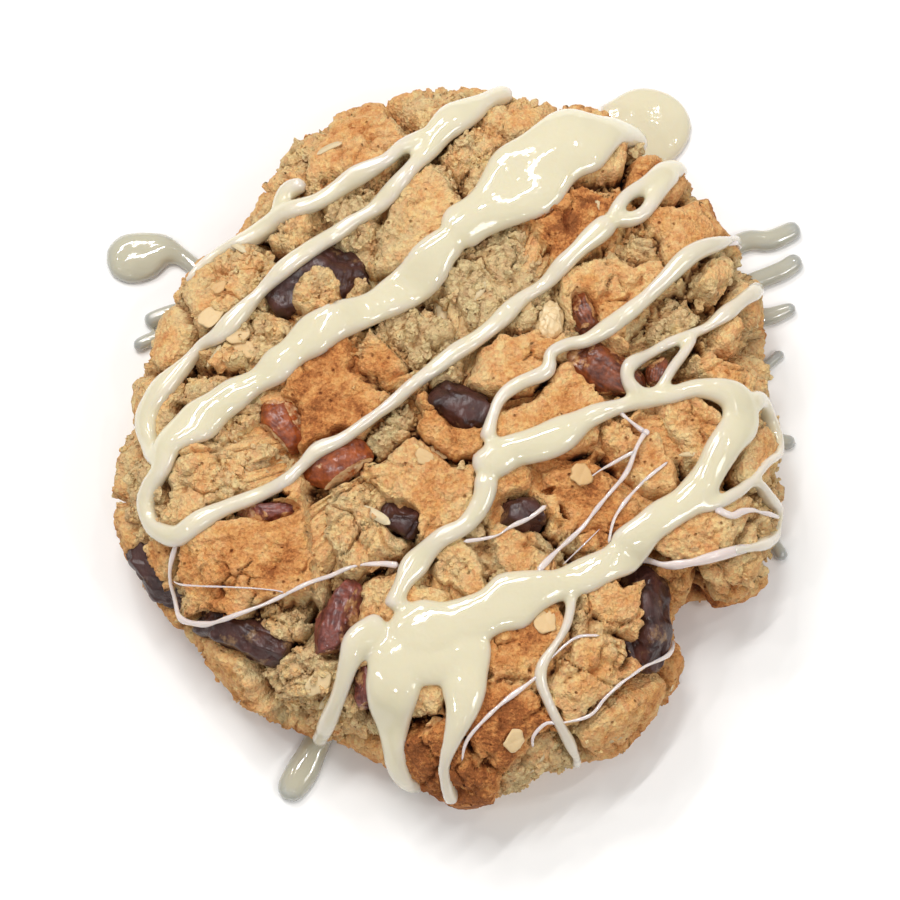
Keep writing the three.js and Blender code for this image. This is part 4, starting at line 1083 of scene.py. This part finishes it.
# x, y, half width of the hair-thin threads that the spoon drew between strands
pourThreads = [
    [(-38.4, -17.6, 0.5), (-40.1, -20.9, 0.38), (-40.9, -24.6, 0.42), (-40.1, -27.9, 0.55),
     (-35.7, -29.2, 0.6), (-31.4, -28.5, 0.48), (-25.6, -26.7, 0.36), (-20.1, -24.2, 0.34),
     (-14.5, -21.9, 0.34), (-10.4, -21.3, 0.4), (-7.6, -21.5, 0.5)],
    [(-40.2, -23.2, 0.14), (-31.2, -24.2, 0.14), (-22.8, -25.6, 0.13)],
    [(26.9, -2.4, 0.62), (25.4, -5, 0.42), (24, -8.5, 0.42), (20.3, -12.9, 0.4), (17.6, -16.4, 0.4),
     (14.1, -19.7, 0.42), (11.4, -22.6, 0.5)],
    [(25.4, -5.3, 0.32), (21.7, -7.3, 0.27), (17.4, -10.4, 0.2)],
    [(30, -6.7, 0.25), (26.1, -10, 0.27), (22.6, -14.3, 0.36), (21.4, -18.6, 0.4)],
    [(20.3, -16.4, 0.15), (15.1, -21.4, 0.15)],
    [(12.7, -13.3, 0.72), (10.6, -14.9, 0.46), (7.7, -16.4, 0.34), (5.7, -17.6, 0.27), (1.2, -18.4, 0.27)],
    [(12.2, -36.4, 0.4), (10.4, -37.8, 0.36), (6.3, -40.9, 0.32), (2.8, -44.2, 0.32), (1.5, -46.2, 0.27),
     (1.1, -48.5, 0.2)],
    [(14.7, -43.2, 0.3), (18.8, -42.1, 0.27), (20.9, -39.5, 0.27), (23.8, -37, 0.27), (27.5, -34.9, 0.4),
     (33.7, -32.9, 0.5)],
    [(14.3, -43.2, 0.3), (12.5, -43.2, 0.27), (10.8, -45, 0.27), (11, -47.1, 0.2)],
    [(12.5, -35.3, 0.24), (16.6, -31.8, 0.22), (20.1, -31.4, 0.16)],
    [(36, -13.2, 0.6), (38.4, -14.2, 0.5), (40.3, -13.4, 0.5), (42.5, -13, 0.5), (45, -13.2, 0.5),
     (48.2, -13.4, 0.5), (50.5, -13.6, 0.4)],
    [(42.5, -18.3, 0.5), (39.5, -18.9, 0.7), (33.5, -20.2, 0.6), (29, -20.8, 0.5), (25.6, -20.6, 0.4)],
    [(22.6, 1.2, 0.6), (24.4, -0.8, 0.4), (26.9, -2.4, 0.62)],
    [(26.5, -2, 0.7), (27.4, -2.8, 0.9)],
    [(44.6, 30.4, 0.9), (41.5, 27.9, 0.42), (37.8, 25.6, 0.6)],
]
pour = {
    "swelling": {"amount": 0.3, "scale": 4.6, "seed": 12},  # how a strand's width comes and goes along it
    "flatness": 0.68,
    "crest": 1.9, "reach": 1.4, "least": 0.15, "sunk": 1.6, "sides": 20, "step": 0.6,
    "voxel": 0.37, "rounds": 10, "ripple": (3.4, 0.09), "thinRounds": 17, "thinAt": (0.06, 0.34),
    "threadSides": 8, "threadStep": 0.5, "threadShare": 0.8,
    # What lies low on the table is greyed with painted shade up to the heights given next, except the pool
    # behind.
    "pool": (29, 51), "poolEdge": (9, 13),  # the pool on the table behind, as creamy as the strands
    "paintedShadeHeights": (1.5, 4.5),
}


def crestOf(halfWidth):
    return pour["least"] + pour["crest"] * (1 - np.exp(-halfWidth / pour["reach"]))


# Evenly spaced points on a smooth curve through the given ones: between two of them a cubic that leaves and
# arrives in the direction of their neighbours.
def routeThrough(points, step):
    given = np.array(points, float)
    given = np.vstack([2 * given[0] - given[1], given, 2 * given[-1] - given[-2]])
    t = np.linspace(0, 1, 24, endpoint=False)[:, None]
    parts = []
    for before, start, end, after in zip(given[:-3], given[1:-2], given[2:-1], given[3:]):
        leave, arrive = (end - before) / 2, (after - start) / 2
        parts.append(start * (2 * t ** 3 - 3 * t ** 2 + 1) + leave * (t ** 3 - 2 * t ** 2 + t)
                     + end * (3 * t ** 2 - 2 * t ** 3) + arrive * (t ** 3 - t ** 2))
    fine = np.vstack(parts + [given[-2:-1]])
    travelled = np.concatenate([[0], np.cumsum(np.linalg.norm(np.diff(fine[:, :2], axis=0), axis=1))])
    at = np.linspace(0, travelled[-1], max(6, int(travelled[-1] / step)) + 1)
    return np.stack([np.interp(at, travelled, column) for column in fine.T], 1), at


# A closed rod along a route: a ring of places round each of its points, closed at one point at each end.
# The given function places a vertex from its route point, its shift across and its share of the height up.
def rod(points, step, sides, place):
    route, travelled = routeThrough(points, step)
    ahead = unit(np.gradient(route[:, :2], axis=0))
    across = np.stack([ahead[:, 1], -ahead[:, 0]], 1)
    halfWidth = route[:, -1]
    fromEnd = np.minimum(travelled, travelled[-1] - travelled) / halfWidth
    full = np.sqrt(1 - (1 - np.clip(fromEnd, 0, 1)) ** 2)[:, None]
    turn = np.linspace(0, 2 * math.pi, sides, endpoint=False)[None, :]
    side = np.cos(turn) * halfWidth[:, None] * full
    up = np.sin(turn) * full
    points = place(route, across, side, up).reshape(-1, 3)
    return tidied(points, ringNumbers(len(route), sides))[:2]


def flatRoute(route):
    return np.stack([route[:, 0], route[:, 1], 0 * route[:, 0]], 1)


def shifted(route, across, side):
    return route[:, :1] + across[:, :1] * side, route[:, 1:2] + across[:, 1:] * side


def strandPlace(route, across, side, up):
    swelling = pour["swelling"]
    swell = 1 + swelling["amount"] * noise(flatRoute(route), swelling["scale"], swelling["seed"])[:, None]
    x, y = shifted(route, across, side * swell)
    point, out, _, _ = skinFrame(x, y)
    middle = readMap(relief["film"], route[:, :1], route[:, 1:2])
    lift = (0.5 * middle + 0.5 * readMap(relief["film"], x, y)) * standing(point)
    crest = crestOf(route[:, 2:3] * swell)
    rise = np.where(up > 0, crest * np.abs(up) ** pour["flatness"], pour["sunk"] * up)
    return point + out * (lift + rise)[..., None]


def overrunPlace(route, across, side, up):
    x, y = shifted(route, across, side)
    z = route[:, 2:3] + crestOf(route[:, 3:4]) * np.sign(up) * np.abs(up) ** 0.8
    return np.stack([x, y, z], -1)


def threadPlace(route, across, side, up):
    x, y = shifted(route, across, side * (1 + 0.5 * noise(flatRoute(route), 2.2, 165))[:, None])
    halfWidth = route[:, 2:3]
    point, out, _, _ = skinFrame(x, y)
    lift = readMap(relief["close"], route[:, :1], route[:, 1:2]) * standing(point)
    return point + out * (lift + halfWidth * (0.2 + 0.8 * up))[..., None]


def joined(parts):
    points = np.concatenate([p for p, _ in parts])
    starts = np.cumsum([0] + [len(p) for p, _ in parts[:-1]])
    quads = np.concatenate([faces[0] + start for (_, faces), start in zip(parts, starts)])
    triangles = np.concatenate([faces[1] + start for (_, faces), start in zip(parts, starts)])
    return points, [quads, triangles]


# Draws each corner of a mesh towards the middle of its neighbours by each of the given shares in turn. In
# and out by turns rounds the creases and keeps the volume.
def relaxed(mesh, points, shares):
    edges = np.zeros(len(mesh.edges) * 2, np.int32)
    mesh.edges.foreach_get("vertices", edges)
    one, two = edges.reshape(-1, 2).T
    count = np.bincount(one, minlength=len(points)) + np.bincount(two, minlength=len(points))
    for factor in shares:
        total = np.zeros_like(points)
        for k in range(3):
            total[:, k] = np.bincount(one, points[two, k], len(points))
            total[:, k] += np.bincount(two, points[one, k], len(points))
        points = points + factor * (total / count[:, None] - points)
    return points


def makePour():
    rods = [rod(points, pour["step"], pour["sides"], strandPlace) for points in pourStrands]
    rods += [rod(points, pour["step"], pour["sides"], overrunPlace) for points in pourOverruns]
    points, faces = joined(rods)
    rough = makePiece("pour_rough", points, faces, pourMaterial)
    remesh = rough.modifiers.new("merge", "REMESH")
    remesh.mode = "VOXEL"
    remesh.voxel_size = pour["voxel"] * mm
    merged = rough.evaluated_get(bpy.context.evaluated_depsgraph_get()).to_mesh()
    places = np.zeros(len(merged.vertices) * 3, np.float32)
    merged.vertices.foreach_get("co", places)
    places = relaxed(merged, places.reshape(-1, 3).astype(float) / mm, (0.62, -0.55) * pour["rounds"])
    shrunk = relaxed(merged, places, (0.6,) * pour["thinRounds"])
    corners = np.zeros(len(merged.loops), np.int32)
    merged.loops.foreach_get("vertex_index", corners)
    quads = corners.reshape(-1, 4)
    rough.to_mesh_clear()
    bpy.data.objects.remove(rough)
    thin = smooth(np.linalg.norm(shrunk - places, axis=1), *pour["thinAt"])
    scale, amount = pour["ripple"]
    places = places + amount * np.stack([noise(places, scale, 161 + n) for n in range(3)], 1)
    places[:, 2] = np.maximum(places[:, 2], 0)
    x, y = pour["pool"]
    fromPool = smooth(np.hypot(places[:, 0] - x, places[:, 1] - y), *pour["poolEdge"])
    # low: painted shade, greyer, on what lies low on the table, away from the pool.
    values = {"low": (1 - smooth(places[:, 2], *pour["paintedShadeHeights"])) * fromPool, "thin": thin}
    return makePiece("white_chocolate_pour", places, [quads], pourMaterial, values)


def makeThreads():
    finer = (1, 1, pour["threadShare"])
    rods = [rod(np.array(points) * finer, pour["threadStep"], pour["threadSides"], threadPlace)
            for points in pourThreads]
    points, faces = joined(rods)
    values = {"low": np.zeros(len(points)), "thin": np.ones(len(points))}
    return makePiece("white_chocolate_threads", points, faces, threadMaterial, values)


for piece in (makePour(), makeThreads()):
    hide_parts("cookie")
    print("white chocolate made:", piece.name, len(piece.data.polygons), "faces")

bits = {
    "flakeSize": (2.1, 1.6, 0.22), "looseFlakes": 9, "flakeGrid": 16, "flakeShare": (0.45, 0.85),
    "flakeSides": 7, "flakeCut": (0.74, 1.05), "flakeLift": (0.08, 0.25),
    "shreds": 12, "shredLength": (2, 4.5), "shredWidth": (0.25, 0.5), "shredThickness": 0.1,
    "crumbs": 4200, "crumbSize": (0.16, 0.6), "clumps": 420, "clumpSize": (0.7, 1.5),
    "reach": 54, "crumbReach": 60,
}
# x, y, turn, tilt in degrees
shownFlakes = [
    (-29.5, 10, 10, 8), (-30.8, 12, 20, 12), (-34.5, 15, 60, 15), (-24.6, -7.6, 95, 12),
    (-10.6, -12, 40, 10), (-2.5, -5.5, 15, 6), (17.6, -9, 70, 10), (12.5, -29.5, 80, 12),
    (8, -45.5, 20, 10), (-19, -38, 35, 10),
]
# x, y, turn in degrees, length, half width
shownShreds = [
    (-2, 17.4, 100, 6.5, 0.7), (-29.2, 17.2, 40, 5, 0.6), (-25.9, -7.1, 70, 5, 0.7),
    (-11, -14.5, 150, 5, 0.7), (43.5, -27.1, 120, 6, 0.9), (-18, 40.5, 20, 4, 0.5), (3.6, 18.2, 60, 4, 0.5),
    (-21.3, -27.7, 10, 4.5, 0.6), (-17.4, -40.3, 60, 6, 0.7), (22.6, -46.7, 30, 4, 0.6),
    (-31.4, 26.3, 140, 4, 0.5),
]


# The square spread over the disc, twice: an upper and a lower face that share their rim.
def flakeShape():
    count = bits["flakeGrid"]
    line = np.linspace(-1, 1, count + 1)
    u, v = np.meshgrid(line, line, indexing="ij")
    x, y = u * np.sqrt(1 - v * v / 2), v * np.sqrt(1 - u * u / 2)
    bulge = np.sqrt(np.maximum(1 - x * x - y * y, 0)) ** 0.6
    upper = np.stack([x, y, bulge], -1).reshape(-1, 3)
    lower = np.stack([x, y, -bulge], -1).reshape(-1, 3)
    numbers = np.arange(len(upper)).reshape(count + 1, count + 1)
    rim = np.zeros_like(numbers, bool)
    rim[[0, -1], :] = True
    rim[:, [0, -1]] = True
    below = np.where(rim, numbers, numbers + len(upper))
    quads = np.concatenate([gridFaces(numbers)[0], gridFaces(below)[0][:, ::-1]])
    used, packed = np.unique(quads, return_inverse=True)
    return np.concatenate([upper, lower])[used], packed.reshape(-1, 4)


# The pairs of numbers a, b turned by an angle.
def turnedBy(a, b, angle):
    c, s = np.cos(angle)[:, None], np.sin(angle)[:, None]
    return a * c - b * s, a * s + b * c


# Copies of a small shape over the skin. Each is stretched, tilted and turned, then stands on the dough at
# x, y.
def scattered(shape, faces, x, y, lift, sizes, turn, tilt, bend):
    local = shape[None] * sizes[:, None, :]
    local = local + bend(local)
    up, ahead = turnedBy(local[..., 2], local[..., 0], tilt)
    ahead, aside = turnedBy(ahead, local[..., 1], turn)
    point, out, along, across = skinFrame(x, y)
    base = point + out * (readMap(relief["topped"], x, y) * standing(point) + lift)[:, None]
    axes = np.stack([along, across, out], 1)
    places = base[:, None] + np.stack([ahead, aside, up], -1) @ axes
    numbers = faces[None] + (np.arange(len(x)) * len(shape))[:, None, None]
    return places.reshape(-1, 3), numbers.reshape(-1, faces.shape[1])


def drawDisc(random, reach, count):
    distance = reach * np.sqrt(random.random(count))
    angle = 2 * math.pi * random.random(count)
    return distance * np.cos(angle), distance * np.sin(angle)


def isBare(x, y):
    return readMap(relief["topped"], x, y) - readMap(relief["dough"], x, y) < 0.05


# Places drawn on the dough where no chunk lies.
def bareDough(random, count):
    x, y = drawDisc(random, bits["reach"], 4 * count)
    bare = isBare(x, y)
    return x[bare][:count], y[bare][:count]


def makeFlakes(random):
    shape, faces = flakeShape()
    count = bits["looseFlakes"]
    shown = np.array(shownFlakes, float)
    looseX, looseY = bareDough(random, count)
    x = np.concatenate([shown[:, 0], looseX])
    y = np.concatenate([shown[:, 1], looseY])
    turn = np.radians(np.concatenate([shown[:, 2], 360 * random.random(count)]))
    tilt = np.radians(np.concatenate([shown[:, 3], 28 * random.random(count)]))
    share = np.concatenate([np.ones(len(shown)), random.uniform(*bits["flakeShare"], count)])
    sizes = share[:, None] * np.array(bits["flakeSize"]) * random.uniform(0.85, 1.1, (len(x), 3))
    sizes[:, 2] = bits["flakeSize"][2]

    # broken off along a few straight lines: the share of the whole flake's reach that is left each way
    sides = bits["flakeSides"]
    angle = np.arctan2(shape[:, 1], shape[:, 0])
    left = np.ones((len(x), len(shape)))
    for n in range(sides):
        facing = 2 * math.pi * (n + 0.7 * random.random((len(x), 1))) / sides
        cut = random.uniform(*bits["flakeCut"], (len(x), 1))
        left = np.minimum(left, cut / np.maximum(np.cos(angle - facing), 0.05))

    def bend(local):
        wave = 0.09 * noise(local + 7.0 * np.arange(len(local))[:, None, None], 1.1, 171)
        crease = -0.06 * np.exp(-((local[..., 1] / 0.22) ** 2))
        ragged = 0.12 * noise(local * (1, 1, 0) + 5.0 * np.arange(len(local))[:, None, None], 0.9, 172)
        change = left * (1 + ragged) - 1
        return np.stack([local[..., 0] * change, local[..., 1] * change, wave + crease], -1)

    lift = random.uniform(*bits["flakeLift"], len(x))
    places, numbers = scattered(shape, faces, x, y, lift, sizes, turn, tilt, bend)
    own = np.repeat(random.random(len(x)) ** 1.5, len(shape))
    return makePiece("oat_flakes", places, [numbers], oatMaterial, {"own": own})


# A strip with a narrow section, drawn to a point at each end.
def shredShape():
    steps = 8
    along = np.linspace(-1, 1, steps + 1)
    wide = np.sqrt(np.maximum(1 - along ** 4, 0.04))
    corners = np.array([(1, 1), (-1, 1), (-1, -1), (1, -1)], float)
    ring = np.stack([np.repeat(along[:, None], 4, 1), corners[None, :, 0] * wide[:, None],
                     corners[None, :, 1] * np.ones((steps + 1, 1))], -1)
    numbers = np.arange(4 * (steps + 1)).reshape(steps + 1, 4)
    quads = gridFaces(np.concatenate([numbers, numbers[:, :1]], axis=1))[0]
    ends = np.stack([numbers[0, ::-1], numbers[-1]])
    return ring.reshape(-1, 3), np.concatenate([quads, ends])


def makeShreds(random):
    shape, faces = shredShape()
    count = bits["shreds"]
    shown = np.array(shownShreds, float)
    looseX, looseY = bareDough(random, count)
    x = np.concatenate([shown[:, 0], looseX])
    y = np.concatenate([shown[:, 1], looseY])
    turn = np.concatenate([np.radians(shown[:, 2]), 2 * math.pi * random.random(count)])
    length = np.concatenate([shown[:, 3], random.uniform(*bits["shredLength"], count)])
    width = np.concatenate([shown[:, 4], random.uniform(*bits["shredWidth"], count)])
    sizes = np.stack([length / 2, width, np.full(len(x), bits["shredThickness"])], 1)
    curl = random.uniform(-0.07, 0.07, (len(x), 1))
    arch = random.uniform(-0.06, 0.02, (len(x), 1))

    def bend(local):
        return np.stack([0 * local[..., 0], curl * local[..., 0] ** 2, arch * local[..., 0] ** 2], -1)

    tilt = random.uniform(-0.25, 0.25, len(x))
    lift = np.concatenate([np.full(len(shown), 0.1), random.uniform(-0.25, 0.05, count)])
    places, numbers = scattered(shape, faces, x, y, lift, sizes, turn, tilt, bend)
    own = np.repeat(0.6 * random.random(len(x)), len(shape))
    return makePiece("coconut_shreds", places, [numbers], coconutMaterial, {"own": own})


# A lump of twelve corners and twenty faces, as an icosahedron has.
def grainShape():
    g = (1 + math.sqrt(5)) / 2
    points = []
    for a, b in itertools.product((-1, 1), (-g, g)):
        points += [(0, a, b), (a, b, 0), (b, 0, a)]
    points = unit(np.array(points, float))
    away = np.linalg.norm(points[:, None] - points[None], axis=-1)
    near = (away > 0.1) & (away < 1.2)
    threes = itertools.combinations(range(12), 3)
    faces = np.array([t for t in threes if all(near[pair] for pair in itertools.combinations(t, 2))])
    normal = np.cross(points[faces[:, 1]] - points[faces[:, 0]], points[faces[:, 2]] - points[faces[:, 0]])
    inward = np.sum(normal * points[faces[:, 0]], axis=1) < 0
    faces[inward] = faces[inward][:, ::-1]
    return points, faces


# Splits each face of a ball in four and pushes the new corners out to the ball.
def split(points, faces):
    edges = np.sort(np.concatenate([faces[:, [0, 1]], faces[:, [1, 2]], faces[:, [2, 0]]]), axis=1)
    single, which = np.unique(edges, axis=0, return_inverse=True)
    middles = (which.reshape(3, -1) + len(points)).T
    a, b, c = faces.T
    ab, bc, ca = middles.T
    four = np.concatenate([np.stack(t, 1) for t in ((a, ab, ca), (b, bc, ab), (c, ca, bc), (ab, bc, ca))])
    return np.concatenate([points, unit(points[single].mean(axis=1))]), four


# Broken bits of dough, more where the dough is crumbly and none on the chunks.
def makeCrumbs(random, name, shape, faces, count, sizeRange, dent, bury):
    tries = 8 * count
    x, y = drawDisc(random, bits["crumbReach"], tries)
    wanted = readMap(relief["crumbly"], x, y) ** 2 + 0.02
    kept = np.flatnonzero((random.random(tries) < wanted) & isBare(x, y))[:count]
    x, y = x[kept], y[kept]
    low, high = sizeRange
    size = low + (high - low) * random.random(len(x)) ** 2.2
    sizes = size[:, None] * random.uniform(0.5, 1.25, (len(x), 3))
    turn = 2 * math.pi * random.random(len(x))
    tilt = random.uniform(-0.8, 0.8, len(x))
    home = 9.0 * np.arange(len(x))[:, None, None]
    slab = random.uniform(0.55, 0.85, (len(x), 1, 3))

    # squared off by its own three widths, then dented
    def bend(local):
        share = local / sizes[:, None, :]
        flat = np.clip(share, -slab, slab) * sizes[:, None, :]
        dents = dent * size[:, None] * noise(share * 1.6 + home, 1.0, 181)
        return flat - local + dents[..., None] * share

    places, numbers = scattered(shape, faces, x, y, bury * size, sizes, turn, tilt, bend)
    brown = np.clip(readMap(relief["brown"], x, y) + random.uniform(-0.25, 0.15, len(x)), 0, 1)
    # Painted shade: a crumb lying in a hollow is darkened by half as much as the dough there.
    hollow = 0.5 * hollowness(readMap(relief["dough"], x, y), x, y)
    values = {"brown": np.repeat(brown, len(shape)), "hollow": np.repeat(hollow, len(shape))}
    return makePiece(name, places, [numbers], doughMaterial, values, rounded=False)


random = np.random.default_rng(29)
grain = grainShape()
scatter = [
    makeFlakes(random),
    makeShreds(random),
    makeCrumbs(random, "crumbs", *grain, bits["crumbs"], bits["crumbSize"], 0.5, 0.1),
    makeCrumbs(random, "crumb_clumps", *split(*split(*grain)), bits["clumps"], bits["clumpSize"], 0.6, -0.25),
]
for piece in scatter:
    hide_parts("cookie")
print("flakes, shreds and crumbs made")

studio = {
    "floor": "#F7F6F4", "floorHalf": 1.5,
    "world": 0.37,
    # name, place in mm, length along the strands and width in mm, watts
    "lights": [
        ("key_high", (-90, 250, 640), 300, 16, 1.5), ("key_low", (-250, 400, 520), 300, 18, 1.3),
        ("fill", (420, -180, 520), 200, 200, 0.6),
    ],
    "along": (1, 1, 0),  # the way most strands run, which the long lights follow
    "sparks": {"count": 8, "radius": 330, "height": 430, "first": 20, "size": 14, "watts": 0.15},
}


def makeStudio():
    mesh = bpy.data.meshes.new("floor")
    half = studio["floorHalf"]
    corners = [(-half, -half, 0), (half, -half, 0), (half, half, 0), (-half, half, 0)]
    mesh.from_pydata(corners, [], [(0, 1, 2, 3)])
    material, tree = newMaterial("matt_floor")
    settings = {"Base Color": hexColour(studio["floor"]), "Roughness": 0.9, "Specular IOR Level": 0.1}
    finishMaterial(tree, settings, {})
    mesh.materials.append(material)
    floor = bpy.data.objects.new("floor", mesh)
    bpy.context.scene.collection.objects.link(floor)
    sparks = studio["sparks"]
    turns = [math.radians(sparks["first"] + 360 * n / sparks["count"]) for n in range(sparks["count"])]
    lights = studio["lights"] + [
        ("spark", (sparks["radius"] * math.cos(t), sparks["radius"] * math.sin(t), sparks["height"]),
         sparks["size"], sparks["size"], sparks["watts"]) for t in turns]
    for name, place, length, width, power in lights:
        light = bpy.data.lights.new(name, "AREA")
        light.shape = "RECTANGLE"
        light.size = length * mm
        light.size_y = width * mm
        light.energy = power
        shown = bpy.data.objects.new(name, light)
        shown.location = Vector(place) * mm
        away = (Vector(place) - Vector((0, 0, 10))).normalized()
        across = away.cross(Vector(studio["along"])).normalized()
        shown.rotation_euler = Matrix((across.cross(away), across, away)).transposed().to_euler()
        bpy.context.scene.collection.objects.link(shown)
    world = bpy.data.worlds.new("studio")
    world.use_nodes = True
    background = world.node_tree.nodes["Background"]
    background.inputs["Color"].default_value = grey(1.0)
    background.inputs["Strength"].default_value = studio["world"]
    bpy.context.scene.world = world
    bpy.context.scene.view_settings.view_transform = "Standard"


makeStudio()
print("studio made")
